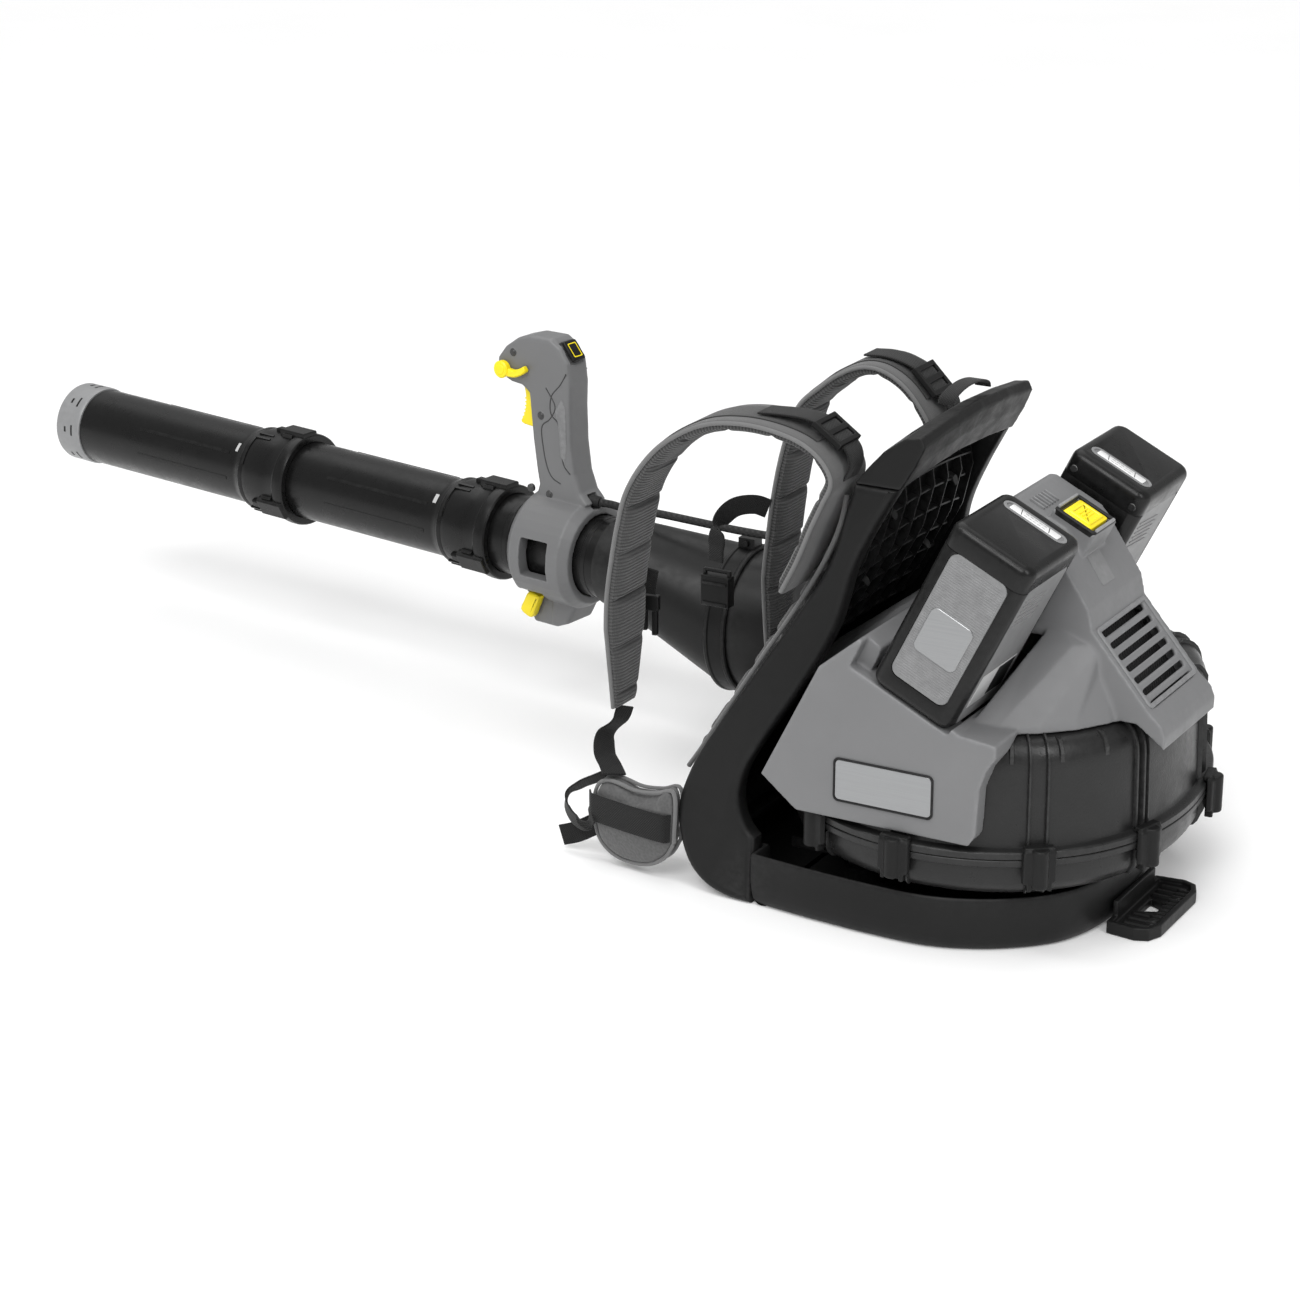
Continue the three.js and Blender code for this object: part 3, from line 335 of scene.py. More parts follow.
def done(o, mat, body, nodes=(), sharp=32):
    me = o.data
    if not isinstance(mat, (list, tuple)):
        mat = [mat]
    if mat[0] is not None:
        me.materials.clear()
        for k in mat:
            me.materials.append(k)
    bm = bmesh.new()
    bm.from_mesh(me)
    for f in bm.faces:
        f.smooth = True
    if sharp:
        lim = rad(sharp)
        for e in bm.edges:
            if len(e.link_faces) == 2:
                e.smooth = e.calc_face_angle(0) < lim
    bm.to_mesh(me)
    bm.free()
    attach(o, body)
    if nodes:
        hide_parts(*([nodes] if isinstance(nodes, str) else nodes))
    return o

def loft(rings, caps=True, loop=False, uv=False):
    n = len(rings[0])
    verts = [tuple(p) for r in rings for p in r]
    faces = []
    m = len(rings)
    for i in range(m if loop else m - 1):
        for j in range(n):
            a, b = i * n + j, i * n + (j + 1) % n
            c, d = ((i + 1) % m) * n + (j + 1) % n, ((i + 1) % m) * n + j
            faces.append((a, b, c, d))
    if caps and not loop:
        faces.append(tuple(range(n - 1, -1, -1)))
        faces.append(tuple(range((m - 1) * n, m * n)))
    return verts, faces

def join(*parts):
    verts, faces, uvs = [], [], []
    has = all(len(p) > 2 for p in parts)
    for p in parts:
        k = len(verts)
        verts += list(p[0])
        faces += [tuple(i + k for i in f) for f in p[1]]
        if has:
            uvs += list(p[2])
    return (verts, faces, uvs) if has else (verts, faces)

def catmull(P, n):
    P = [np.array(p, float) for p in P]
    m, out = len(P) - 1, []
    for k in range(n + 1):
        t = k / n * m
        i = min(int(t), m - 1)
        w = t - i
        p1, p2 = P[i], P[i + 1]
        p0 = P[i - 1] if i > 0 else 2 * p1 - p2
        p3 = P[i + 2] if i + 2 <= m else 2 * p2 - p1
        d0, d1, d2 = [max(1e-6, np.linalg.norm(b - a)) ** 0.5 for a, b in ((p0, p1), (p1, p2), (p2, p3))]
        a = ((p1 - p0) / d0 - (p2 - p0) / (d0 + d1) + (p2 - p1) / d1) * d1
        b = ((p2 - p1) / d1 - (p3 - p1) / (d1 + d2) + (p3 - p2) / d2) * d1
        out.append(p1 + a * w + (-3 * p1 + 3 * p2 - 2 * a - b) * w * w + (2 * p1 - 2 * p2 + a + b) * w ** 3)
    return out

def resample(pts, n):
    pts = np.array(pts, float)
    d = np.concatenate([[0], np.cumsum(np.linalg.norm(np.diff(pts, axis=0), axis=1))])
    s = np.linspace(0, d[-1], n + 1)
    return [np.array([np.interp(x, d, pts[:, k]) for k in range(pts.shape[1])]) for x in s]

def spaced(P, n):
    return resample(catmull(P, 24 * len(P)), n)

def inset2(pts, d):
    pts = [np.array(p, float) for p in pts]
    n = len(pts)
    area = sum(pts[i][0] * pts[(i + 1) % n][1] - pts[(i + 1) % n][0] * pts[i][1] for i in range(n))
    sg = 1 if area > 0 else -1
    out = []
    for i in range(n):
        p, q, r = pts[i - 1], pts[i], pts[(i + 1) % n]
        a, b = q - p, r - q
        a, b = a / max(1e-9, np.linalg.norm(a)), b / max(1e-9, np.linalg.norm(b))
        na, nb = np.array([-a[1], a[0]]) * sg, np.array([-b[1], b[0]]) * sg
        m = na + nb
        m = m / max(1e-9, np.linalg.norm(m))
        out.append(q + m * d / max(0.45, float(m @ na)))
    return out

def rrect(w, h, r, n=6):
    pts = []
    for cx, cy, a0 in ((w / 2 - r, h / 2 - r, 0), (-w / 2 + r, h / 2 - r, 90), (-w / 2 + r, -h / 2 + r, 180), (w / 2 - r, -h / 2 + r, 270)):
        for i in range(n + 1):
            a = rad(a0 + 90 * i / n)
            pts.append((cx + r * math.cos(a), cy + r * math.sin(a)))
    return pts

def box(x0, x1, y0, y1, z0, z1):
    v = [(x, y, z) for x in (x0, x1) for y in (y0, y1) for z in (z0, z1)]
    return v, [(0, 1, 3, 2), (4, 6, 7, 5), (0, 4, 5, 1), (2, 3, 7, 6), (0, 2, 6, 4), (1, 5, 7, 3)]

def xf(geo, f):
    return ([f(*v) for v in geo[0]], geo[1], *geo[2:])

def cyl(r, h0, h1, seg=32, r2=None, ch=0.6):
    r2 = r if r2 is None else r2
    prof = [(r - ch, h0), (r, h0 + ch), (r2, h1 - ch), (r2 - ch, h1)]
    return loft([[(q * math.cos(2 * math.pi * i / seg), q * math.sin(2 * math.pi * i / seg), h) for i in range(seg)] for q, h in prof])

def tube_path(points, r, seg=12, caps=True):
    """Round rod through points, with length and girth coordinates."""
    P = [np.array(p, float) for p in points]
    rings, uvs, s = [], [], 0.0
    up = np.array([0.0, 0.0, 1.0])
    t0 = P[1] - P[0]
    nrm = np.cross(t0, up)
    if np.linalg.norm(nrm) < 1e-3 * np.linalg.norm(t0):
        nrm = np.cross(t0, [1.0, 0, 0])
    nrm /= np.linalg.norm(nrm)
    for i, p in enumerate(P):
        t = P[min(i + 1, len(P) - 1)] - P[max(i - 1, 0)]
        t /= np.linalg.norm(t)
        nrm = nrm - t * (nrm @ t)
        nrm /= np.linalg.norm(nrm)
        bi = np.cross(t, nrm)
        rr = r(i / (len(P) - 1)) if callable(r) else r
        rings.append([p + (nrm * math.cos(2 * math.pi * k / seg) + bi * math.sin(2 * math.pi * k / seg)) * rr for k in range(seg)])
        if i:
            s += np.linalg.norm(P[i] - P[i - 1])
        uvs += [(s, abs(1 - 2 * k / seg) * math.pi * rr) for k in range(seg)]
    v, f = loft(rings, caps)
    return v, f, uvs

def band(points, across, width, thick, wf=None, tf=None, nx=9, crown=0.0, shift=0.0):
    """Flat strap following points; across is one vector or one for each point. Length and width coordinates come with it."""
    P = [np.array(p, float) for p in points]
    m = len(P) - 1
    rings, uvs, s = [], [], 0.0
    for i, p in enumerate(P):
        t = P[min(i + 1, m)] - P[max(i - 1, 0)]
        t /= np.linalg.norm(t)
        A = np.array(across[i] if isinstance(across[0], (list, tuple, np.ndarray)) else across, float)
        A = A - t * (A @ t)
        A /= np.linalg.norm(A)
        nr = np.cross(t, A)
        q = i / m
        w = width * (wf(q) if wf else 1) / 2
        h = thick * (tf(q) if tf else 1) / 2
        r = min(h, w * 0.4)
        if i:
            s += np.linalg.norm(P[i] - P[i - 1])
        ring, uv = [], []
        xs = [-(w - r) + 2 * (w - r) * k / (nx - 1) for k in range(nx)]
        top = [(x, h + crown * (1 - (x / w) ** 2)) for x in xs]
        bot = [(x, -h - crown * (1 - (x / w) ** 2)) for x in xs[::-1]]
        side1 = [(w - r + r * math.cos(a), h * math.sin(a)) for a in (rad(60), rad(30), 0, rad(-30), rad(-60))]
        side2 = [(-(w - r) - r * math.cos(a), -h * math.sin(a)) for a in (rad(60), rad(30), 0, rad(-30), rad(-60))]
        for x, y in top + side1 + bot + side2:
            ring.append(p + A * x + nr * (y + shift))
            uv.append((s, x))
        rings.append(ring)
        uvs += uv
    v, f = loft(rings)
    return v, f, uvs

def ring_xyz(pts, z):
    return [(p[0], p[1], z) for p in pts]

# ------------------------------------------------------------------ control cable
PT, D = np.array([-485, 171.4, 174.0]), np.array([-0.993, 0.1149, 0.02726])
D = D / np.linalg.norm(D)
E3 = np.array([0, 0, 1.0]) - D * D[2]
E3 /= np.linalg.norm(E3)
E2 = np.cross(E3, D)
def tp(t, y, z):
    return PT + D * t + E2 * y + E3 * z
def tpf(t, y, z):
    return tuple(tp(t, y, z))
start = tp(45.4, 0, 56)
cable_pts = [start, start + np.array([12, -0.5, 0.2]), (-500, 173, 231), (-463, 175, 230.5), (-425, 178, 228), (-385, 183, 224.5), (-358, 186, 223), (-338, 188, 222), (-325, 189.6, 219), (-318.6, 190, 214.5), (-318, 190, 210.2)]
cable = raw("control_cable_braided", tube_path(spaced(cable_pts, 90), 4.0, 16))
done(cable, CABLE, "unit", "control_cable")
cable.parent = None
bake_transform(cable)

# ------------------------------------------------------------------ fan housing
CX, CY = -20.0, 0.0
RC = catmull([(-250, 178), (-180, 178), (-150, 178), (-119, 178), (-90, 178), (-46, 178), (-27, 177.5), (-3, 178), (18, 187), (33, 202), (60, 236), (90, 258)], 240)
def spiral(a):
    return float(np.interp(a, [p[0] for p in RC], [p[1] for p in RC]))
def volute(off, xe=-160, n=150):
    y_in, y_out = 152 + off, 258 - off
    a0 = 180 - math.degrees(math.asin(min(0.97, y_in / (178 - off)))) - 360
    pts = []
    for i in range(n + 1):
        a = a0 + (90 - a0) * i / n
        r = spiral(a) - off
        pts.append([CX + r * math.cos(rad(a)), CY + r * math.sin(rad(a))])
    pts[-1][1] = y_out
    return pts + [[xe, y_out], [xe, y_in]]
def shell(name, outer, inner, extra=()):
    o = raw(name, loft([ring_xyz(volute(*q[:1]), q[1]) for q in outer]))
    c = raw("c1", loft([ring_xyz(volute(q[0], -166), q[1]) for q in inner]))
    return boolean(o, [c, *extra])
UP = [(0.6, 93.3), (0, 94), (0, 98.9), (0.7, 99.9), (2.2, 100.6), (6.2, 101.0), (7.8, 102.0), (8.5, 104.5), (9.6, 150), (10.2, 168), (10.9, 176), (12.6, 182.5), (15.6, 188), (19.8, 192), (25, 194.8), (30, 196)]
upper = shell("fan_housing_top", UP, [(12, 80), (13, 174), (18, 185), (30, 192)], [raw("c2", xf(cyl(84, 180, 210, 64), lambda x, y, z: (x + CX, y + CY, z)))])
done(upper, DRUM, "unit", "fan_housing_upper", 30)
LOW = [(30, 54), (25, 54.3), (19, 56), (14, 59), (9, 64), (6.8, 69), (6, 76), (5.4, 83), (5.0, 85.4), (3.8, 86.2), (1.2, 86.5), (0.2, 87.3), (0, 88.5), (0, 92), (0.6, 92.7)]
lower = shell("fan_housing_bottom", LOW, [(28, 58), (16, 63), (12, 70), (12, 110)])
done(lower, DRUM, "unit", "fan_housing_lower", 30)

CLIPS = {"clip_1": -122, "clip_2": -92, "clip_3": -52, "clip_4": -16, "clip_5": 28, "clip_6": 58}
def rib_on(a_deg, prof, h, w, dy=0.0, embed=1.5):
    """Slim moulded rib that climbs the housing wall at an angle, dy millimetres to the side of it."""
    rings, m = [], len(prof) - 1
    rr = lambda off: spiral(a_deg + math.degrees(dy / 170)) - off
    P = [np.array([rr(o), z]) for o, z in prof]
    for i, p in enumerate(P):
        t = P[min(i + 1, m)] - P[max(i - 1, 0)]
        t /= np.linalg.norm(t)
        n2 = np.array([t[1], -t[0]])
        if i == 0 or i == m:
            hh = 0.1
        else:
            hh = h
        a = rad(a_deg + math.degrees(dy / 170))
        er, et = np.array([math.cos(a), math.sin(a)]), np.array([-math.sin(a), math.cos(a)])
        ring = []
        for side, k in ((-w / 2, -embed), (-w / 2, hh * 0.6), (-w / 2 + 0.5, hh), (w / 2 - 0.5, hh), (w / 2, hh * 0.6), (w / 2, -embed)):
            q = p + n2 * k
            xy = np.array([CX, CY]) + er * q[0] + et * side
            ring.append((xy[0], xy[1], q[1]))
        rings.append(ring)
    return loft(rings)
wall = [(8.3, 101.5), (8.4, 104), (9.0, 130), (9.6, 150), (10.2, 168), (10.9, 176), (12.6, 182.5), (15.6, 188), (19.8, 192), (25, 194.8), (31, 196.0), (34, 196.1)]
low_wall = [(16, 58), (12.0, 61), (9, 64), (6.8, 69), (6, 76), (5.5, 83), (5.4, 85)]
geos = []
for name, a in CLIPS.items():
    h = 1.5 if name in ("clip_1", "clip_2") else 3.4
    for dy in (-8, 8):
        geos.append(rib_on(a, wall, h, 2.6, dy))
        geos.append(rib_on(a, low_wall, 3.0, 2.4, dy))
    if name == "clip_4":
        geos.append(rib_on(a, wall, 4.6, 3.0, 0))
# small lugs along the shoulder
for a in (-60, -45, -30, -8, 8, 40, 75):
    geos.append(rib_on(a, [(10.9, 176), (12.6, 182.5), (15.6, 188), (19.8, 192), (25, 194.8)], 2.2, 4.0))
done(raw("housing_ribs", join(*geos)), DRUM, "unit", sharp=30)

for name, a in CLIPS.items():
    at = spiral
    r = at(a)
    tilt = -math.atan2(at(a + 3) - at(a - 3), r * 6 * math.pi / 180)
    def place(x, y, z, r=r, tilt=tilt, a=a):
        x, y = x * math.cos(tilt) - y * math.sin(tilt), x * math.sin(tilt) + y * math.cos(tilt)
        x += r + 0.4
        c, s = math.cos(rad(a)), math.sin(rad(a))
        return (CX + x * c - y * s, CY + x * s + y * c, z)
    boss = xf(cyl(7.4, 69.5, 105, 24, ch=1.2), lambda x, y, z: (x + 5.2, y, z))
    wings = loft([[(0.6, -15, z0), (5.4 - k, -14.0 + k, z0), (7.2 - k, -6, z0), (7.2 - k, 6, z0), (5.4 - k, 14 - k, z0), (0.6, 15, z0)] for z0, k in ((73, 1.0), (75, 0), (101, 0), (104, 1.2))])
    top = loft([[(-4, -13.2, z0), (4, -13.2, z0), (4, 13.2, z0), (-4, 13.2, z0)] for z0 in (101.9, 106)])
    bot = loft([[(-2, -13, z0), (4, -13, z0), (4, 13, z0), (-2, 13, z0)] for z0 in (77, 84.6)])
    prong = [box(-1.0, 6.4, s - 2, s + 2, 66.5, 76) for s in (-9, 9)]
    o = merge([raw("k", xf(g, place)) for g in (boss, wings, top, bot, *prong)], name + "_moulded")
    done(remesh(o, 0.8, 3), FRAME, "unit", name, 0)

# ------------------------------------------------------------------ base, buffers and foot plate
rear = [tuple(p) for p in resample(catmull([(-118, -167), (-59, -170), (-5, -168), (28, -158), (64, -137), (97, -104), (112, -70), (118, -40), (120.5, -12), (121, 0)], 160), 60)][:-1]
half = [(-232, -112), (-229, -124), (-222, -131), (-212, -135.2), (-175.5, -135.8), (-175.5, -159.5), (-174, -161.2), (-150, -163.8)] + rear
outline = half + [(x, -y) for x, y in half[::-1]]
def base_ring(d, z):
    return ring_xyz(inset2(outline, d), z)
tray_rings = [base_ring(d, z) for d, z in ((13, 0), (9.5, 0.3), (6.4, 1.6), (4.2, 4), (2.4, 8), (1.1, 14), (0.3, 22), (0, 30), (0.1, 46.5), (0.5, 48.6), (1.5, 49.8), (2.6, 50), (3.7, 49.5), (4.4, 47.5), (4.6, 24), (5.5, 14), (9, 7), (14, 6))]
tray = raw("base_tray_moulded", loft(tray_rings))
done(tray, FRAME, "unit", "base_tray", 30)
posts = join(*[xf(cyl(20, 5, 20, 40, ch=1), lambda x, y, z, a=a, b=b: (x + a, y + b, z)) for a, b in ((-110, -64), (-110, 64), (66, 0))],
             *[box(-200, 80, y - 1.5, y + 1.5, 5.5, 15) for y in (-100, -32, 32, 100)])
done(raw("base_posts", posts), FRAME, "unit")
for nm, (bx, by) in {"buffer_front_left": (-110, -64), "buffer_front_right": (-110, 64), "buffer_rear": (66, 0)}.items():
    prof = catmull([(15, 20.3), (15.4, 23), (14, 27), (11, 33), (10.6, 37), (11, 41), (14, 47), (15.4, 51), (15, 53.7)], 40)
    o = raw(nm + "_turned", loft([[(bx + r * math.cos(2 * math.pi * i / 40), by + r * math.sin(2 * math.pi * i / 40), z) for i in range(40)] for r, z in prof]))
    done(o, RUBBER, "unit", nm, 40)
o = from_node("foot_plate_moulded", "foot_plate")
extra = [box(150, 164, -40 + 8 * i - 1.3, -40 + 8 * i + 1.3, 6, 11) for i in range(11)]
o = merge([o] + [raw("k", g) for g in extra], "foot_plate_moulded")
done(remesh(o, 0.9, 3), FRAME, "unit", "foot_plate", 0)

# ------------------------------------------------------------------ carrying frame
front = [(-176, 0.6), (-200, 2), (-222, 9), (-238, 22), (-248, 40), (-254, 62), (-254, 82), (-247, 106), (-236, 130), (-182, 217), (-147, 272), (-121, 320), (-110, 365), (-103, 389)]
back = [(-62, 389), (-82, 352), (-98, 316), (-112, 260), (-142, 202), (-177, 146), (-191, 118), (-194.5, 96), (-190, 78), (-184, 68), (-176, 61)]
rail_outline = [tuple(p) for p in spaced(front, 90)] + [tuple(p) for p in spaced(back, 70)]
def rail_y(z):
    return 160 - 0.11 * z
for side, sg in (("left", -1), ("right", 1)):
    rings = []
    for ins, dep in ((7.0, 0.15), (4.4, 0.3), (2.6, 1.0), (1.2, 2.2), (0.35, 3.8), (0, 5.6), (0, 14.4), (0.5, 16.4), (1.6, 17.6), (3.0, 18)):
        p = inset2(rail_outline, ins)
        rings.append([(x, sg * (rail_y(z) - dep), z) for x, z in p])
    o = raw("frame_rail_%s_moulded" % side, loft(rings))
    done(o, FRAME, "unit", "frame_rail_" + side, 38)
o = remesh(from_node("frame_yoke_moulded", "frame_yoke"), 1.3, 6)
done(o, FRAME, "unit", "frame_yoke", 0)
gp = spaced([(-56, -38, 446.4), (-56, -36.5, 450), (-56, -24, 455), (-56, 0, 457.6), (-56, 24, 455), (-56, 36.5, 450), (-56, 38, 446.4)], 48)
done(raw("grab_loop_webbing", band(gp, (1, 0, 0), 15.5, 2.2)), WEBBING, "unit", "grab_loop", 50)

# back panel: slab with crossed ribs on its rear face
panel = [(-243, 62), (-242, 84), (-236, 106), (-226, 130), (-172, 217), (-137, 272), (-111, 320), (-99, 365), (-94, 384)]
PP = spaced(panel, 60)
def half_w(z):
    return rail_y(z) - 18 - 1.2
rings = []
for k in range(-10, 11):
    f = k / 10
    ring = []
    for p in PP:
        w = half_w(p[1])
        ring.append((p[0] - 4 + 0.6 * math.cos(f * 9 * math.pi), f * w, p[1]))
    for p in PP[::-1]:
        w = half_w(p[1])
        ring.append((p[0] + 4, f * w, p[1]))
    rings.append(ring)
fold = loft([[(x, y, z) for x, z in ((-246, 62.5), (-228, 51), (-210, 51), (-210, 54.5), (-226, 55), (-239.5, 67))] for y in (-130, 130)])
done(raw("back_panel_moulded", join(loft(rings), fold)), DARK, "unit", "back_panel", 30)
geos = []
def on_panel(z, dx):
    x = np.interp(z, [p[1] for p in panel], [p[0] for p in panel])
    return x + dx
def pnorm(z):
    x0, x1 = on_panel(z - 4, 0), on_panel(z + 4, 0)
    t = np.array([x1 - x0, 8.0])
    t /= np.linalg.norm(t)
    return np.array([t[1], -t[0]])
for f in (-0.94, -0.7, -0.42, -0.14, 0.14, 0.42, 0.7, 0.94):
    rg = []
    zs = np.linspace(214, 380, 26)
    for i, z in enumerate(zs):
        n2, w = pnorm(z), half_w(z)
        h = 9 * min(1, i / 3, (len(zs) - 1 - i) / 3)
        x = on_panel(z, 3.2)
        y = f * w
        rg.append([(x, y - 1.1, z), (x + n2[0] * (h + 0.4), y - 0.8, z + n2[1] * (h + 0.4)), (x + n2[0] * (h + 0.4), y + 0.8, z + n2[1] * (h + 0.4)), (x, y + 1.1, z)])
    geos.append(loft(rg))
for z in (228, 252, 276, 300, 324, 348, 370):
    n2, w = pnorm(z), half_w(z) - 1
    rg = []
    for i in range(31):
        y = -w + 2 * w * i / 30
        h = 7.5 * min(1, i / 2, (30 - i) / 2)
        zz = z + 8 * math.cos(math.pi * y / w / 2)
        x = on_panel(zz, 3.2)
        n2 = pnorm(zz)
        rg.append([(x, y, zz - 1.1), (x + n2[0] * (h + 0.4), y, zz - 0.8 + n2[1] * h), (x + n2[0] * (h + 0.4), y, zz + 0.8 + n2[1] * h), (x, y, zz + 1.1)])
    geos.append(loft(rg))
for sg in (-1, 1):
    for z in (290, 352):
        n2 = pnorm(z)
        x = on_panel(z, 3)
        geos.append(xf(cyl(6, 0, 10, 24, 5), lambda a, b, c, x=x, z=z, n2=n2, sg=sg: (x + n2[0] * c + n2[1] * -a * -1, sg * 62 + b, z + n2[1] * c + n2[0] * a)))
done(raw("back_panel_ribs", join(*geos)), DARK, "unit", sharp=30)

# ------------------------------------------------------------------ soft goods
def cloth_puff(o, cap, pressure=4.0, frames=20, pin=None):
    rest = np.array([v.co for v in o.data.vertices])
    m = o.modifiers.new("cloth", "CLOTH")
    st = m.settings
    st.quality = 5
    st.use_pressure = True
    st.uniform_pressure_force = pressure
    st.effector_weights.gravity = 0
    st.tension_stiffness = st.compression_stiffness = 15
    st.bending_stiffness = 0.5
    m.point_cache.frame_start, m.point_cache.frame_end = 1, frames
    for f in range(1, frames + 1):
        scene.frame_set(f)
    dg = bpy.context.evaluated_depsgraph_get()
    me = bpy.data.meshes.new_from_object(o.evaluated_get(dg))
    co = np.array([v.co for v in me.vertices])
    scene.frame_set(1)
    o.modifiers.clear()
    d = co - rest
    ln = np.linalg.norm(d, axis=1)
    k = np.where(ln > cap, cap / np.maximum(ln, 1e-9), 1.0)
    co = rest + d * k[:, None]
    o.data.vertices.foreach_set("co", co.astype(np.float32).ravel())
    o.data.update()
    bpy.data.meshes.remove(me)
    return o

def subdivide(o, n=1):
    m = o.modifiers.new("sub", "SUBSURF")
    m.levels = m.render_levels = n
    return apply(o)

def move_verts(o, fn):
    me = o.data
    nv = len(me.vertices)
    co = np.zeros(nv * 3)
    me.vertices.foreach_get("co", co)
    no = np.zeros(nv * 3)
    me.vertices.foreach_get("normal", no)
    co, no = co.reshape(-1, 3) / S, no.reshape(-1, 3)
    co = fn(co, no) * S
    me.vertices.foreach_set("co", co.ravel())
    me.update()
    return o

# back cushion
pad = [(-268, 96), (-256, 114), (-240, 140), (-192, 217), (-157, 272), (-132, 318), (-121, 350), (-118, 372)]
PD = spaced(pad, 40)
def pad_half(z):
    return min(104, rail_y(z) - 22)
def pad_ring(f, k):
    fr = [(p[0] - 6.5 * k, p[1]) for p in PD]
    bk = [(p[0] + 10.2, p[1]) for p in PD[::-1]]
    return [(x, f * (pad_half(z) - 1.5), z) for x, z in fr + bk]
o = raw("back_cushion_padded", loft([pad_ring(-1, 0), pad_ring(-0.97, 0.7), pad_ring(-0.9, 1)] + [pad_ring(f, 1) for f in np.linspace(-0.8, 0.8, 13)] + [pad_ring(0.9, 1), pad_ring(0.97, 0.7), pad_ring(1, 0)]))
remesh(o, 5.0, 2)
cloth_puff(o, 0.006)
subdivide(o)
def cushion_shape(co, no):
    z, y = co[:, 2], co[:, 1]
    xf_ = np.interp(z, [p[1] for p in PD], [p[0] for p in PD])
    front = np.clip(-(co[:, 0] - xf_ - 2) / 6, 0, 1)
    g = np.zeros(len(co))
    for yy in (-36, 36):
        g += np.exp(-((y - yy) / 4.5) ** 2)
    s = np.interp(z, [p[1] for p in PD], np.linspace(0, 1, len(PD)))
    for q in np.linspace(0.1, 0.9, 7):
        g += np.exp(-((s - q) * 320 / 4.5) ** 2) * (1 - np.exp(-((np.abs(y) - 36) / 5) ** 2))
    g = np.clip(g, 0, 1)
    co = co - no * (g * front * 5.0)[:, None]
    limit = xf_ + 10.6
    co[:, 0] = np.minimum(co[:, 0], limit)
    return co
move_verts(o, cushion_shape)
done(o, CUSHION, "unit", "back_cushion", 0)
geos = []
for sg in (-1, 1):
    pts = [(p[0] - 1.0, sg * (pad_half(p[1]) + 0.8), p[1]) for p in PD]
    geos.append(tube_path(spaced(pts, 80), 2.2, 10))
done(raw("cushion_piping", join(*geos)), PIPING, "unit")

# shoulder straps
PATH = {
    "left": (-100, [(-121, 391), (-127, 404), (-143, 417), (-168, 425), (-205, 428), (-241, 422), (-277, 402), (-299, 380), (-316, 352), (-324, 324), (-331, 287), (-336, 250), (-337, 205), (-337.5, 165), (-338, 142)]),
    "right": (100, [(-124, 390), (-131, 404), (-149, 424), (-171, 435), (-190, 435), (-213, 424), (-231, 410), (-249, 393), (-260, 367), (-268, 338), (-275, 300), (-280, 260), (-284, 220), (-286, 180), (-287, 150)]),
}
def taper(t):
    return 1 - (t - 0.86) * 3.2 if t > 0.86 else 1
for side, (yc, path) in PATH.items():
    low = [(-167, 288), (-152, 318), (-139, 350), (-128, 374)] if side == "left" else [(-169, 288), (-154, 318), (-141, 350), (-130, 374)]
    P = spaced([(x, yc, z) for x, z in low + path], 240)
    total = sum(np.linalg.norm(P[i + 1] - P[i]) for i in range(240))
    A = np.array([0, 1.0, 0])
    frames = []
    for i, p in enumerate(P):
        t = P[min(i + 1, 240)] - P[max(i - 1, 0)]
        t /= np.linalg.norm(t)
        frames.append((p, t, np.cross(t, A)))
    # foam blocks on the inner side, sewn off from each other
    block = 46.0
    rings, uvs = [], []
    nx = 15
    for i, (p, t, nr) in enumerate(frames):
        q = i / 240
        s = q * total
        w = 30.0 * taper(q)
        ph = (s / block) % 1.0
        puff = min(1.0, (abs(math.sin(math.pi * ph)) * 3.0)) ** 0.7
        ends = min(1, q / 0.012, (1 - q) / 0.012)
        hin = (1.2 + 5.6 * puff) * (ends ** 0.5) * (1 if q < 0.86 else 1 - (q - 0.86) * 3.5)
        ring, uv = [], []
        for k in range(nx):
            x = -w + 2 * w * k / (nx - 1)
            e = 1 - abs(x / w) ** 5
            ring.append(p + A * x + nr * (hin * (0.35 + 0.65 * e)))
            uv.append((s, x))
        for k in range(nx):
            x = w - 2 * w * k / (nx - 1)
            ring.append(p + A * x + nr * -2.0)
            uv.append((s, x))
        rings.append(ring)
        uvs += uv
    v, f = loft(rings)
    o = raw("shoulder_strap_%s_padded" % side, (v, f, uvs))
    done(o, STRAP_IN, "unit", "shoulder_strap_" + side, 50)
    # outer cloth with bound edges
    o = raw("strap_cover_" + side, band(P, A, 64.5, 4.2, wf=taper, nx=13, crown=0.8, shift=-3.6))
    done(o, STRAP_OUT, "unit", sharp=50)
    geos = []
    for sg in (-1, 1):
        e = [p + A * sg * 31.4 * taper(i / 240) + nr * -3.2 for i, (p, t, nr) in enumerate(frames)]
        geos.append(tube_path(e, 2.0, 10))
    done(raw("strap_piping_" + side, join(*geos)), PIPING, "unit")
    # centre panel on the outside
    a0, a1 = 62, 140
    o = raw("strap_panel_" + side, band(P[a0:a1], A, 38, 1.8, nx=9, shift=-6.4))
    done(o, STRAP_TOP, "unit", sharp=50)
    # webbing that passes through the ladder buckle
    wp = [(-117, 386), (-110, 402), (-112, 414), (-121, 423.5), (-129, 428.6), (-137, 434.2), (-153, 438.5), (-176, 439), (-198, 437.6)] if side == "left" else [(-120, 386), (-112, 400), (-113, 410), (-124, 419.2), (-133, 428), (-141, 436), (-156, 442.6), (-176, 446), (-196, 445)]
    o = raw("strap_webbing_" + side, band(spaced([(x, yc, z) for x, z in wp], 60), A, 28, 1.8, nx=7))
    done(o, WEBBING, "unit", sharp=50)

for side in ("left", "right"):
    o = from_node("ladder_buckle_" + side, "strap_adjuster_" + side)
    remesh(o, 0.7, 3)
    done(o, DARK, "unit", "strap_adjuster_" + side, 0)

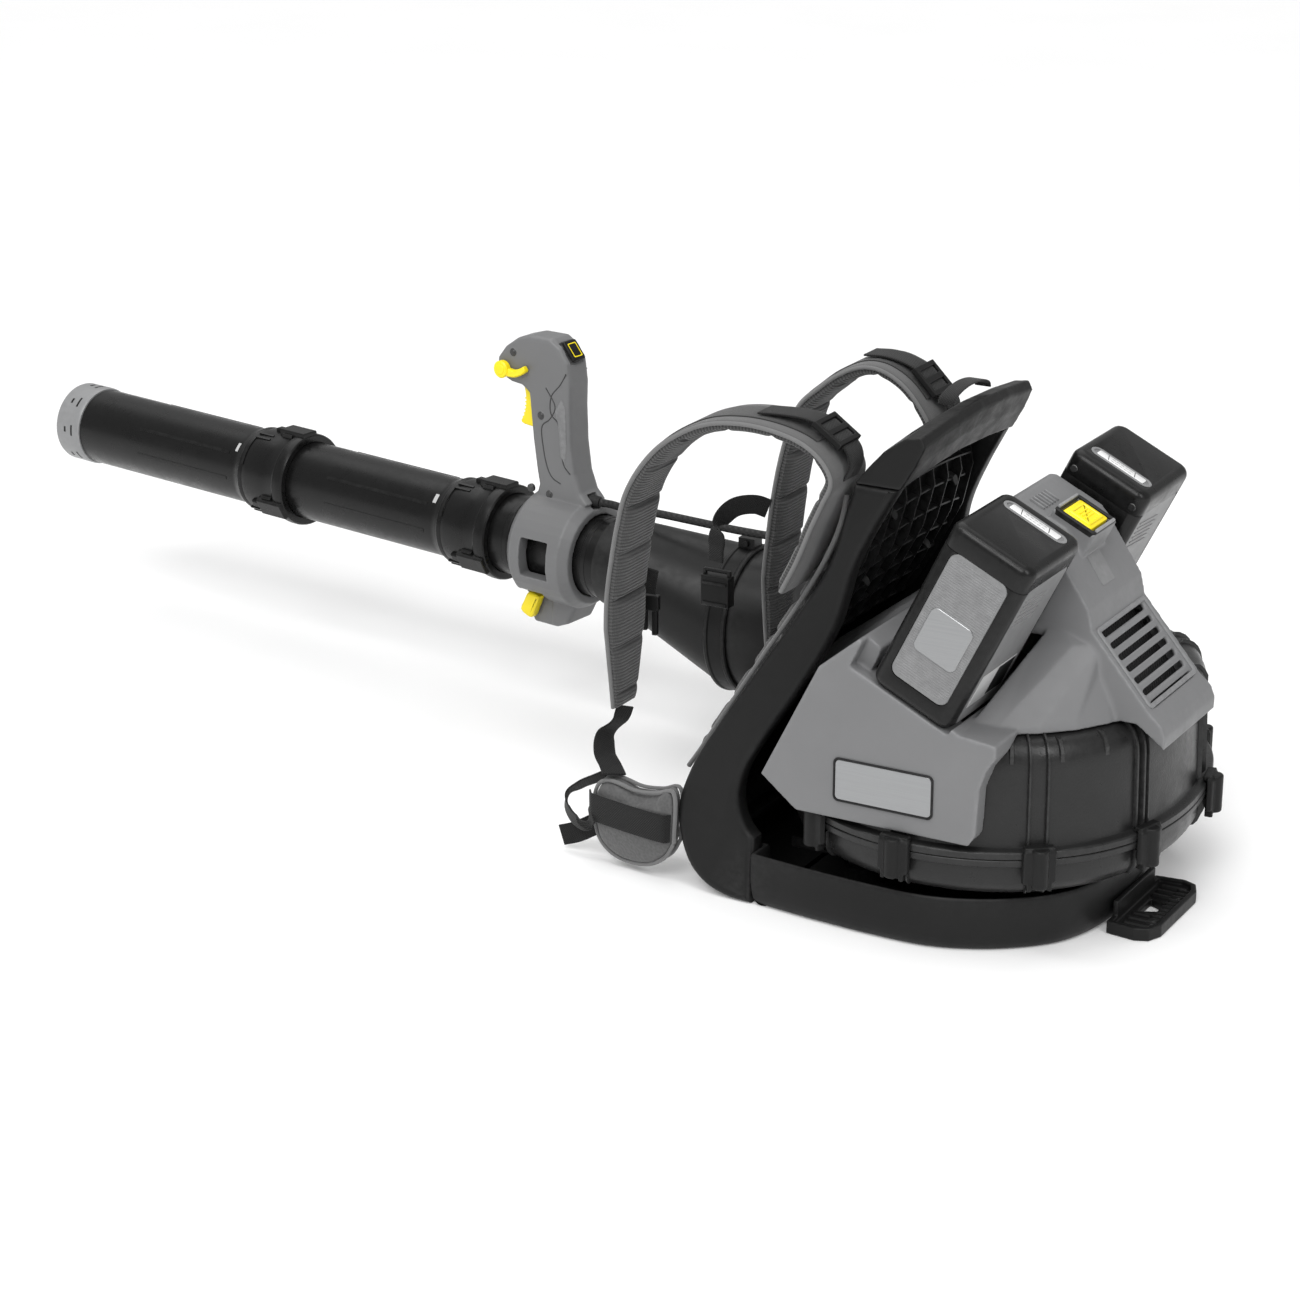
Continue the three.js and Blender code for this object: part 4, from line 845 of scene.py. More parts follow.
# webbing between straps and hip pads
lowL = spaced([(-338.3, -100, 139.2), (-341, -104, 128), (-350, -114, 114), (-345, -126, 101), (-334, -134, 93), (-326, -141, 88.6)], 50)
lowR = spaced([(-287.3, 100, 147.2), (-296, 106, 134), (-308, 112, 118), (-318, 116, 106), (-324, 120, 96), (-326, 123, 88.6)], 40)
done(raw("hip_webbing_left", band(lowL, (0.25, 1, 0), 23.5, 2.0, nx=7)), WEBBING, "unit", "lower_webbing_left", 50)
done(raw("hip_webbing_right", band(lowR, (0.25, 1, 0), 23.5, 2.0, nx=7)), WEBBING, "unit", "lower_webbing_right", 50)

# hip pads
hip_prof = [(-256, 40), (-266, 24), (-284, 12), (-306, 8), (-326, 11), (-340, 22), (-346, 40), (-346, 66), (-340, 79), (-328, 83), (-300, 80), (-276, 84), (-257, 90)]
hp = [tuple(p) for p in catmull(hip_prof + [hip_prof[0]], 96)][:-1]
def hip_y(x, shift):
    u = (-256 - x) / 90
    return 148 - shift - 12 * math.sin(u * 1.5)
for side, sg, shift in (("left", -1, 0), ("right", 1, 18)):
    rings = []
    for t, k in ((-1, 0.90), (-0.85, 0.95), (-0.5, 0.985), (0, 0.99), (0.5, 0.985), (0.85, 0.95), (1, 0.90)):
        rings.append([(-302 + (x + 302) * k, sg * (hip_y(x, shift) + t * 10.5), 46 + (z - 46) * k) for x, z in hp])
    o = raw("hip_pad_%s_padded" % side, loft(rings))
    remesh(o, 4.0, 2)
    cloth_puff(o, 0.004)
    subdivide(o)
    done(o, HIP, "unit", "hip_pad_" + side, 0)
    # bound rim and the webbing that crosses the outside
    geos = []
    for t in (-0.62, 0.62):
        e = [(-302 + (x + 302) * 0.992, sg * (hip_y(x, shift) + t * 10.5), 46 + (z - 46) * 0.992) for x, z in hp + hp[:1]]
        geos.append(tube_path(e, 1.9, 8, False))
    done(raw("hip_piping_" + side, join(*geos)), PIPING, "unit")
    pts = [(x, sg * (hip_y(x, shift) + 14.4 + 4.2 * math.sin(math.pi * (x + 345) / 83.0) ** 0.6), 56 - 0.02 * (x + 300)) for x in np.linspace(-344.9, -262.1, 40)]
    pts = [(-350, sg * (hip_y(-345, shift) + 8), 57)] + pts + [(-259, sg * (hip_y(-262, shift) + 10), 55)]
    done(raw("hip_band_" + side, band(spaced(pts, 60), (0, 0, 1), 27, 1.8, nx=7)), WEBBING, "unit", sharp=50)

# loose end of the left hip webbing
loopL = spaced([(-337, -128, 84), (-350, -131, 77), (-366, -134, 68), (-377, -137, 58), (-378, -139, 47), (-370, -142, 38), (-358, -146, 36), (-348, -150, 42), (-343, -152, 50)], 60)
across = [(0.15 + 0.6 * q, -0.75 + 0.3 * q, 0.62) for q in np.linspace(0, 1, 61)]
done(raw("webbing_loop_left", band(loopL, across, 20, 1.7, nx=7)), WEBBING, "unit", sharp=50)
tailL = spaced([(-347, -128, 34), (-360, -129, 26), (-374, -130, 18), (-388, -132, 13)], 24)
done(raw("webbing_tail_left", band(tailL, (0.35, 0.1, 0.93), 20, 1.7, nx=7)), WEBBING, "unit", sharp=50)

# chest strap
cwl = spaced([(-334, -65.2, 262), (-337.4, -61.8, 252), (-339.4, -60.3, 243), (-340, -60, 236)], 24)
done(raw("chest_strap_left", band(cwl, (1, 0.2, 0), 19.5, 1.8, nx=7)), WEBBING, "unit", "chest_webbing_left", 50)
cwr = spaced([(-281, 66.0, 292), (-292, 60, 296), (-310, 52, 292), (-322, 46, 276), (-324, 44, 252), (-324, 43, 240)], 60)
done(raw("chest_strap_right", band(cwr, (0.3, 0, 1), 19.5, 1.8, nx=7)), WEBBING, "unit", "chest_webbing_right", 50)
extra = [box(-334.6, -309.4, 43 - 7.2, 43 + 7.2, z0, z1) for z0, z1 in ((198.2, 201.4), (218.6, 221.4))]
extra += [xf(cyl(1.9, -13.5, 13.5, 16), lambda x, y, z: (-322 + z, 43 + x, 231 + y)), box(-336.4, -333.4, 41, 45, 225, 232.5), box(-310.6, -307.6, 41, 45, 225, 232.5)]
o = raw("receiver_details", join(*extra))
done(bevel(o, 0.6, 2, 40), DARK, "unit", sharp=30)
for nd in ("chest_buckle_catch", "chest_buckle_receiver"):
    done(remesh(from_node(nd + "_moulded", nd), 0.55, 4), DARK, "unit", nd, 0)

# ------------------------------------------------------------------ battery packs
LEAN = rad(26)
U3, W3 = np.array([math.cos(LEAN), 0, -math.sin(LEAN)]), np.array([math.sin(LEAN), 0, math.cos(LEAN)])
PO = np.array([17.6, 0, 392.0])
def pk(u, v, w):
    return tuple(PO + U3 * u + np.array([0, v, 0]) + W3 * w)
def fillet(r, h0, h1, n=5):
    out = [(r * (1 - math.sin(a)), h0 + r * (1 - math.cos(a))) for a in [math.pi / 2 * k / n for k in range(n + 1)]]
    return out + [(r * (1 - math.sin(a)), h1 - r * (1 - math.cos(a))) for a in [math.pi / 2 * (1 - k / n) for k in range(n + 1)]]
for side, sg in (("left", -1), ("right", 1)):
    body = "battery_%s_pack" % side
    cyv = sg * 124.25
    ol = rrect(81.5, 107.5, 12, 8)
    rings = []
    for ins, w in fillet(8, -168, 0):
        q = inset2(ol, ins) if ins > 0.01 else ol
        rings.append([pk(a + 40.75, b + cyv, w) for a, b in q])
    o = raw("battery_%s_case" % side, loft(rings))
    cutters = []
    # top recess for the gauge
    g = loft([[pk(a + 41, b + sg * 94.5, w) for a, b in rrect(64, 17.6, 8.7, 8)] for w in (-1.3, 4)])
    cutters.append(raw("c", g))
    # inlay recess on the outer side
    def side_pt(a, b, d, v0=sg * 178.0):
        return pk(40.75 + a, v0 - sg * d, -86 + b)
    inlay = rrect(58, 128, 9, 8)
    cutters.append(raw("c", loft([[side_pt(a, b, d) for a, b in inlay] for d in (-4, 1.6)])))
    # recessed panel on the inner side
    inner = rrect(62, 120, 6, 6)
    cutters.append(raw("c", loft([[side_pt(a, b - 8, d, sg * 70.5 * 1.0) for a, b in inner] for d in (4, -1.2)])))
    # grey rear panel recess
    rp = rrect(84, 142, 6, 6)
    def rear_pt(a, b, d):
        return pk(81.5 - d, cyv + a, -92 + b)
    cutters.append(raw("c", loft([[rear_pt(a, b, d) for a, b in rp] for d in (-4, 1.4)])))
    def front_pt(a, b, d):
        return pk(0 + d, cyv + a, -92 + b)
    cutters.append(raw("c", loft([[front_pt(a, b, d) for a, b in rp] for d in (-4, 1.4)])))
    # parting groove under the cap
    for w in (-22.5,):
        ring_o, ring_i = rrect(90, 116, 14, 8), rrect(80.3, 106.3, 11.4, 8)
        g = loft([[pk(a + 40.75, b + cyv, w - 0.45) for a, b in ring_o], [pk(a + 40.75, b + cyv, w + 0.45) for a, b in ring_o], [pk(a + 40.75, b + cyv, w + 0.45) for a, b in ring_i], [pk(a + 40.75, b + cyv, w - 0.45) for a, b in ring_i]], loop=True)
        cutters.append(raw("c", g))
    boolean(o, cutters)
    bevel(o, 0.5, 2, 50)
    done(o, PACK, body, "battery_" + side, 30)
    # ribbed grey inlay
    pts, rows, cols = inset2(inlay, 0.4), 0, 0
    base = loft([[side_pt(a, b, d) for a, b in (inset2(inlay, 0.4) if k == 0 else inset2(inlay, k))] for d, k in ((1.5, 0), (0.7, 0), (0.25, 1.0))])
    geos = [base]
    z = -59.0
    while z <= 59:
        wv = 26.6 if abs(z) < 54 else 26.6 - (abs(z) - 54) * 1.2
        geos.append(loft([[side_pt(x, z + dz, d) for dz, d in ((-0.75, 0.5), (-0.3, 0.02), (0.3, 0.02), (0.75, 0.5))] for x in (-wv, wv)]))
        z += 2.3
    done(raw("battery_%s_inlay" % side, join(*geos)), PACKGREY, body, sharp=30)
    badge = loft([[side_pt(a, b - 10, d) for a, b in inset2(rrect(42, 44, 6, 6), k)] for d, k in ((0.6, 0), (-0.35, 0), (-0.7, 0.5))])
    done(raw("battery_%s_badge" % side, badge), PLATE, body, sharp=30)
    # rear and front grey panels with slanted vent lines
    for nm, fp in (("rear", rear_pt), ("front", front_pt)):
        geos = [loft([[fp(a, b, d) for a, b in inset2(rp, k)] for d, k in ((1.3, 0.3), (0.5, 0.3), (0.15, 0.9))])]
        for i in range(6):
            y0, z0 = -30, 58 - 5.2 * i
            geos.append(loft([[fp(y, z0 - 0.10 * (y - y0) + dz, d) for dz, d in ((-0.9, 0.4), (-0.4, -0.55), (0.4, -0.55), (0.9, 0.4))] for y in (-sg * -34 if sg < 0 else -34, 12 * (1 if sg > 0 else 1))]))
        done(raw("battery_%s_%s" % (side, nm), join(*geos)), PACKGREY, body, sharp=30)
        lab = loft([[fp(a, b - 38, d) for a, b in inset2(rrect(70, 34, 2, 3), k)] for d, k in ((0.4, 0), (-0.05, 0), (-0.15, 0.2))])
        done(raw("battery_%s_%s_label" % (side, nm), lab), MARK, body, sharp=30)
        lab = loft([[fp(a + 16, b - 38, d) for a, b in inset2(rrect(34, 30, 1, 3), k)] for d, k in ((0.3, 0), (-0.2, 0), (-0.25, 0.2))])
        done(raw("battery_%s_%s_label_dark" % (side, nm), lab), DARK, body, sharp=30)
    # gauge: grey oval surround, white window with dark dividing lines
    geo = loft([[pk(a + 41, b + sg * 94.5, w) for a, b in inset2(rrect(63, 16.8, 8.3, 8), k)] for k, w in ((0, -1.2), (0, 0.15), (0.5, 0.45), (2.6, 0.45), (3.0, 0.05), (3.0, -0.5))])
    done(raw("gauge_%s_surround" % side, geo), PACKGREY, body, sharp=30)
    geo = loft([[pk(a + 41, b + sg * 94.5, w) for a, b in inset2(rrect(49, 10.0, 1.6, 5), k)] for k, w in ((0, -0.6), (0, 0.2), (0.4, 0.42))])
    done(raw("gauge_%s_window" % side, geo), WHITE, body, "battery_gauge_" + side, sharp=30)
    geos = []
    for b in (-14, 14):
        geos.append(loft([[pk(41 + b + d, sg * 94.5 + a, w) for a, d in ((-4.4, -0.35 + 1.5), (4.4, -0.35 - 1.5), (4.4, 0.35 - 1.5), (-4.4, 0.35 + 1.5))] for w in (0.3, 0.5)]))
    for b in (-9, -4.5, 0, 4.5, 9):
        for c in (-2.2, 2.2):
            geos.append(loft([[pk(41 + b + p, sg * 94.5 + c + q, w) for p, q in ((-1.7, -0.22), (1.7, -0.22), (1.7, 0.22), (-1.7, 0.22))] for w in (0.3, 0.47)]))
    done(raw("gauge_%s_marks" % side, join(*geos)), DARK, body)
    # screws on the inner side
    for du in (-31, 31):
        f = lambda x, y, z, du=du: side_pt(du + x, 70 + y, -z, sg * 70.5)
        o = raw("battery_%s_screw_%d" % (side, 1 if du < 0 else 2), join(xf(cyl(3.6, -0.5, 1.3, 24, ch=0.5), f), xf(cyl(1.7, 1.2, 1.5, 6, ch=0.1), f)))
        done(o, SCREW, body, sharp=30)

# ------------------------------------------------------------------ top cover
cover = from_node("top_cover_moulded", "top_cover")
LW = -168.8
extra = []
for sg in (-1, 1):
    for q in (box(-23.5, -19.8, 158, 175.6, LW - 5, LW + 22), box(-23.5, -5.6, 157.5, 162, LW - 5, LW + 23), box(82.7, 90, 66, 175.6, LW - 3, LW + 6)):
        extra.append(raw("k", xf(q, lambda a, b, w, sg=sg: pk(a, sg * b, w))))
cover = merge([cover] + extra, "top_cover_moulded")
remesh(cover, 1.5, 6, 0.5)
done(cover, COVER, "unit", "top_cover", 0)
# rating plate: brushed plate in a slim dark frame
def plate_pt(a, b, d):
    return (-40 + a, -176.5 - d, 145 + b)
fr = [[plate_pt(a, b, d) for a, b in inset2(rrect(94, 40, 5, 6), k)] for k, d in ((0, 0.25), (0, 1.2), (0.4, 1.5), (1.4, 1.5), (1.8, 1.2), (1.8, 0.4))]
done(raw("name_plate_frame", loft(fr)), DARK, "unit", sharp=30)
done(raw("name_plate_blank", loft([[plate_pt(a, b, d) for a, b in inset2(rrect(90, 36, 4, 6), k)] for k, d in ((0, 0.3), (0, 0.95), (0.3, 1.15))])), PLATE, "unit", "name_plate", 30)
# latch on its raised block between the packs
def at(a, b, w):
    return pk(54.5 + a, b, w)
geos = [loft([[at(a, b, w) for a, b in inset2(rrect(30, 38, 3, 5), k)] for k, w in ((0, -26), (0, -13.8), (0.5, -12.9), (1.4, -12.5))]),
        loft([[at(a, b, w) for a, b in inset2(rrect(23, 30, 2.5, 5), k)] for k, w in ((0, -32.8), (0, -12.3), (0.6, -11.5), (1.6, -11.2), (2.8, -11.2), (3.4, -11.9), (3.8, -11.9))])]
for q in (-3.4, 0, 3.4):
    geos.append(loft([[at(q + a, b, w) for a, b in ((-0.6, -9), (0.6, -9), (0.6, 9), (-0.6, 9))] for w in (-12.1, -11.3)]))
done(raw("battery_latch_button", join(*geos)), YELLOW, "latch", "battery_latch", 30)
fr = loft([[at(a, b, w) for a, b in inset2(rrect(42, 49.5, 4, 5), k)] for k, w in ((0, -17), (0, -12.7), (0.6, -12.0), (3.6, -12.0), (4.2, -12.7), (4.4, -24))], loop=True)
done(raw("latch_bezel", fr), DARK, "unit", sharp=30)
ends = [xf(box(u0, u0 + 2.6, -20, 20, -16, -10.0), at) for u0 in (-20.6, 18)]
done(bevel(raw("latch_ends", join(*ends)), 0.7, 2, 40), RING, "unit", sharp=30)
fins = [xf(box(9, 24, v - 1.1, v + 1.1, -25, -21.8), lambda a, b, w: pk(a, b, w)) for v in (-15, -9, -3, 3, 9, 15)]
done(bevel(raw("guide_fins", join(*fins)), 0.6, 2, 40), COVER, "unit", sharp=30)
# raised frame round the cooling slots, blank label patch above them
s2, n2 = np.array([54, 0, -63]) / 83.0, np.array([63, 0, 54]) / 83.0
def slope_pt(a, b, d):
    return tuple(np.array([122.8, 0, 242.7]) + s2 * a + np.array([0, b, 0]) + n2 * d)
fr = loft([[slope_pt(a, b, d) for a, b in inset2(rrect(82, 108, 5, 5), k)] for k, d in ((0, -1.0), (0, 0.7), (0.8, 1.4), (3.4, 1.4), (4.2, 0.7), (4.2, -1.0))], loop=True)
done(raw("vent_frame", fr), COVER, "unit", sharp=30)
s1, n1 = np.array([0.561, 0, -0.828]), np.array([0.828, 0, 0.561])
def label_pt(a, b, d):
    return tuple(np.array([57.9, 0, 342.3]) + s1 * (36 + a) + np.array([0, -3 + b, 0]) + n1 * d)
done(raw("slope_label_blank", loft([[label_pt(a, b, d) for a, b in inset2(rrect(29, 26, 1.5, 3), k)] for k, d in ((0, -0.8), (0, 0.35), (0.2, 0.5))])), PACKGREY, "unit", sharp=30)

# vent screen: woven mesh look
SCREEN = fabric_ob("vent_mesh", g3(0.02), 0.005, rough=0.5, strength=1.0, depth=0.001, contrast=0.7, sheen=0)

# ------------------------------------------------------------------ outlet duct, clamp and sleeve
def sec(x, cy, cz, a, b, n, seg=72):
    out = []
    for i in range(seg):
        t = i / seg * 2 * math.pi
        c, s = math.cos(t), math.sin(t)
        k = (abs(c) ** n + abs(s) ** n) ** (-1 / n)
        out.append((x, cy + a * c * k, cz + b * s * k))
    return out
DS = [(-160.6, 205, 125, 52.5, 66, 8), (-175, 205, 125.5, 52.5, 66, 6.4), (-190, 205, 126, 52.5, 66, 5), (-212, 205.5, 126.5, 53.0, 66, 3.8), (-235, 206, 127, 54, 66, 3), (-260, 206, 127.5, 57.5, 66.6, 2.5), (-285, 206, 128, 62, 68, 2.2), (-308, 206, 128, 66.4, 69, 2.08), (-330, 206, 128, 70, 70, 2), (-350, 205.6, 128, 71.2, 71.2, 2), (-366, 205, 128, 71.5, 71.5, 2)]
outer = [sec(*q) for q in DS]
inn = [sec(q[0], q[1], q[2], q[3] - 3.2, q[4] - 3.2, q[5]) for q in DS]
done(raw("outlet_duct_moulded", loft(outer + inn[::-1], loop=True)), SLEEVE, "unit", "outlet_duct", 30)
geos = []
for x in (-200, -240):
    q = [np.interp(x, [d[0] for d in DS[::-1]], [d[k] for d in DS[::-1]]) for k in range(1, 6)]
    rr = [sec(x - 2, q[0], q[1], q[2] - 0.5, q[3] - 0.5, q[4]), sec(x - 2, q[0], q[1], q[2] + 1.6, q[3] + 1.6, q[4]), sec(x + 2, q[0], q[1], q[2] + 1.6, q[3] + 1.6, q[4]), sec(x + 2, q[0], q[1], q[2] - 0.5, q[3] - 0.5, q[4])]
    geos.append(loft(rr, loop=True))
done(raw("duct_bands", join(*geos)), SLEEVE, "unit", sharp=30)
cl = [(-386, 72.3), (-386, 74.2), (-384.8, 75.2), (-382, 75.4), (-380.6, 74.4), (-367.4, 74.4), (-366, 75.4), (-363.2, 75.2), (-362, 74.2), (-362, 72.3)]
done(raw("hose_clamp_moulded", join(loft([sec(x, 205, 128, r, r, 2) for x, r in cl], loop=True), box(-383, -365, 197, 213, 201.5, 212.5), xf(cyl(3.2, 0, 22, 20), lambda x, y, z: (x - 374, 194 + z, y + 207)))), DARK, "unit", "hose_clamp", 30)
def tring(t, r, seg=72):
    return [tpf(t, -r * math.cos(2 * math.pi * i / seg), r * math.sin(2 * math.pi * i / seg)) for i in range(seg)]
def sleeve_rings(big, small, x0, x1, t1):
    A, B, C, E = sec(x0, 205, 128, big, big, 2), sec(x1, 205, 128, big, big, 2), tring(0, small), tring(t1, small)
    rings = [A, B]
    for k in range(1, 16):
        f = k / 16
        rings.append([tuple(np.array(p) * (1 - f) + np.array(q) * f) for p, q in zip(B, C)])
    return rings + [C, E]
so, si = sleeve_rings(71.4, 45.6, -366.4, -386, 22), sleeve_rings(68.4, 42.6, -366.4, -386, 22)
sl = raw("flex_sleeve_moulded", loft(so + si[::-1], loop=True))
done(sl, SLEEVE, "unit", "flex_sleeve", 30)
sl.parent = None
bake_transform(sl)

# ------------------------------------------------------------------ blow tube
def turned(prof, seg=96):
    return loft([tring(t, r, seg) for t, r in prof], loop=True)
rear_prof = [(2, 39.2), (215, 39.2), (215, 40.9), (213.5, 41.4), (212, 41.5), (140, 41.5), (139.4, 41.9), (134.6, 41.9), (134, 41.5), (40, 41.5), (39.4, 42.0), (34.6, 42.0), (34, 41.5), (6, 41.5), (3, 41.2), (2, 40.4)]
done(raw("blow_tube_rear_turned", turned(rear_prof)), TUBE, "blow_tube", "blow_tube_rear", 30)
def socket(t0, neck, t1):
    return [(t0, 42.1), (neck - 8, 42.1), (neck - 4, 39), (t1, 39), (t1, 40.6), (t1 - 1.6, 41.3), (t1 - 3, 41.5), (neck + 9, 41.5), (neck + 6, 41.9), (neck + 3, 42.8), (neck, 44.1), (neck - 2, 44.6), (neck - 3, 45.4), (neck - 7, 45.4), (neck - 8.2, 45.0), (neck - 14, 46.3),
            (t0 + 30, 47.2), (t0 + 16, 47.5), (t0 + 14.6, 48.0), (t0 + 12.6, 49.6), (t0 + 9, 50.0), (t0 + 4, 50.0), (t0 + 1.2, 49.4), (t0, 48.0)]
def lugs(t0, neck, angs):
    geos = []
    for a in angs:
        c, s = math.cos(rad(a)), math.sin(rad(a))
        def f(x, y, z, c=c, s=s):
            return tpf(x, y * c - z * s, y * s + z * c)
        def slab(ta, tb, w, z0, z1, tap=1.5):
            n = 9
            low = [[(ta + k, w * (-1 + 2 * i / (n - 1)) * (1 - k * 0.0), z0) for i in range(n)] for k in (0,)]
            ring = lambda q, zz: [(ta + q, -w + q, zz), (tb - q, -w + q, zz), (tb - q, w - q, zz), (ta + q, w - q, zz)]
            return loft([ring(0, z0), ring(0, z1 - tap), ring(0.5, z1 - 0.4), ring(1.2, z1)])
        geos += [xf(slab(t0 + 1, t0 + 35, 10, 45, 53.2), f), xf(slab(t0 + 9, t0 + 46, 4, 44, 50.8, 1), f), xf(slab(t0 + 16, t0 + 30, 13, 44, 49.4, 1), f)]
    return geos
for nm, body, t0, neck, t1 in (("blow_tube_middle", "middle_tube", 158, 226, 492), ("blow_tube_nozzle", "nozzle_tube", 436, 505, 748)):
    o = raw(nm + "_turned", turned(socket(t0, neck, t1)))
    done(o, TUBE, body, nm, 28)
    o = raw(nm + "_lugs", join(*lugs(t0, neck, (0, 120, 240))))
    done(o, TUBE, body, sharp=28)
    # printed marks, raised arcs on the collar and slim flats along the tube
    def arc(ta, tb, a0, a1, r, h, n=10):
        ring = []
        for i in range(n + 1):
            a = rad(a0 + (a1 - a0) * i / n)
            ring.append([tpf(ta, r * -math.sin(a), r * math.cos(a)), tpf(tb, r * -math.sin(a), r * math.cos(a)), tpf(tb, (r + h) * -math.sin(a), (r + h) * math.cos(a)), tpf(ta, (r + h) * -math.sin(a), (r + h) * math.cos(a))])
        return loft(ring)
    marks = [arc(t0 + 74, t0 + 80, -40, -54, 41.2, 0.5), arc(t0 + 50, t0 + 52.4, -22, -30, 46.0, 1.1), arc(t0 + 55, t0 + 57.4, -22, -30, 45.4, 1.1), arc(t0 + 50, t0 + 57.4, -31, -33, 45.6, 1.1)]
    marks = [marks[0]]
    done(raw(nm + "_mark", join(*marks)), MARK, body)
    ridge = [arc(t0 + 60, t0 + 63, a, a + 44, 44.6, 1.5, 16) for a in (-70, 50, 170)] + [arc(t0 + 40, t0 + 60, a, a + 3, 45.4, 2.2, 3) for a in (-28, -20, 92, 100, 212, 220)]
    for a in (-60, 20, 100, 180, 260):
        ridge.append(arc(neck + 18, t1 - 150 + (40 if nm.endswith("middle") else 60), a, a + 5, 41.3, 0.55, 4))
    done(raw(nm + "_ridges", join(*ridge)), TUBE, body, sharp=28)
ring_prof = [(748.3, 39), (783, 38.6), (784.0, 39.4), (784.0, 40.8), (783, 42.4), (781, 43.2), (753, 43.4), (750, 43.2), (748.3, 42.2)]
ring_prof = [(min(t, 783), r) for t, r in ring_prof]
done(raw("nozzle_ring_turned", turned(ring_prof)), RING, "nozzle_tube", "nozzle_ring", 30)
slots = []
for a in range(0, 360, 45):
    for ta, tb, a0, a1 in ((758, 760.4, 0, 16), (768, 770.4, 4, 12)):
        slots.append(arc(ta, tb, a + a0 - 50, a + a1 - 50, 43.2, 0.35, 6))
done(raw("nozzle_ring_slots", join(*slots)), DARK, "nozzle_tube")

# ------------------------------------------------------------------ control handle
o = remesh(from_node("control_handle_moulded", "control_handle"), 1.0, 7, 0.5)
done(o, HANDLE, "blow_tube", "control_handle", 0)
def hface(t, z, d, sg=1):
    return tpf(t, sg * (17 + d), z)
# grip lines in a dark colour that paints the shade of the inset grooves, and pads on both sides
geos = []
for sg in (-1, 1):
    for path in ([(79, 186), (86, 174), (97, 160), (97, 142), (88, 134), (84, 112), (80, 92), (72, 84)], [(104, 168), (92, 150), (99, 136), (108, 128), (106, 104), (100, 84), (94, 76), (84, 72)]):
        pts = [tpf(t, sg * 17.0, z) for t, z in path]
        geos.append(tube_path(spaced(pts, 50), 0.62, 8))
done(raw("grip_lines", join(*geos)), GROOVE_SHADE, "blow_tube")
o = raw("grip_pads", join(*[xf(loft([[(a, b, h) for a, b in inset2([(77, 112), (79, 150), (84, 160), (92, 146), (88, 132), (84, 100), (79, 94)], k)] for h, k in ((-1, 0), (0.5, 0), (1.0, 0.8))]), lambda a, b, h, sg=sg: tpf(a, sg * (16.6 + h), b)) for sg in (-1, 1)]))
done(o, HANDLE, "blow_tube", sharp=30)
screws = [(110, 138, 17), (122, 60, 17.2), (98, 58, 17.2), (146, 197, 17)]
for i, (t, z, yy) in enumerate(screws):
    geos = []
    for sg in (1, -1):
        f = lambda x, y, zz, t=t, z=z, yy=yy, sg=sg: tpf(t + x, sg * (yy + zz), z + y)
        geos += [xf(cyl(4.2, -3, 0.3, 28, ch=0.3), f), xf(cyl(2.6, 0.0, 0.7, 20, ch=0.3), f), xf(cyl(1.3, 0.6, 0.9, 6, ch=0.1), f)]
    done(raw("handle_screw_%d" % (i + 1), join(*geos)), SCREW, "blow_tube", sharp=30)
# trigger with grip grooves
tgf = catmull([(139.5, 162.6), (137.4, 152), (137.2, 142), (139.4, 132), (143, 125.4)], 30)
tgp = [tuple(p) for p in tgf] + [(142, 122.8), (138, 121.4), (128, 120.8), (119, 120.6), (112, 140), (112, 163.2), (133, 163.2)]
geo = loft([[tpf(t, y, z) for t, z in inset2(tgp, k)] for y, k in ((-8, 1.6), (-7.4, 0.6), (-6, 0), (6, 0), (7.4, 0.6), (8, 1.6))])
ridges = [loft([[tpf(t + dt, y, z) for dt, z in ((-2, zz - 0.9), (0.6, zz - 0.5), (0.6, zz + 0.5), (-2, zz + 0.9))] for y in (-7, 7)]) for zz, t in ((129, 140.6), (133, 139.4), (137, 138.4), (141, 137.8), (145, 137.6), (149, 137.8))]
done(raw("throttle_trigger_moulded", join(geo, *ridges)), YELLOW, "trigger", "throttle_trigger", 30)
# cruise lever: disc and curved arm
f = lambda x, y, z: tpf(156.5 + x, z, 178.7 + y)
disc = xf(cyl(8.8, 17.5, 25, 48, ch=1.2), f)
dim = xf(cyl(5.2, 24.6, 25.6, 36, ch=0.4), f)
arm_c = spaced([(156, 178.5), (148, 176.6), (140, 176.9), (133, 179.8), (126.5, 184.2)], 30)
rg = []
for i, p in enumerate(arm_c):
    t = arm_c[min(i + 1, 30)] - arm_c[max(i - 1, 0)]
    t /= np.linalg.norm(t)
    n2 = np.array([-t[1], t[0]])
    hw = 4.6 - 1.6 * i / 30 - (1.2 if i == 30 else 0)
    pr = [(-hw, 18.4), (-hw, 22.2), (-hw + 1.2, 23.4), (hw - 1.2, 23.4), (hw, 22.2), (hw, 18.4)]
    rg.append([tpf(*(lambda q: (q[0], y, q[1]))(p + n2 * x)) for x, y in pr])
done(raw("cruise_lever_moulded", join(disc, dim, loft(rg))), YELLOW, "cruise", "cruise_lever", 30)
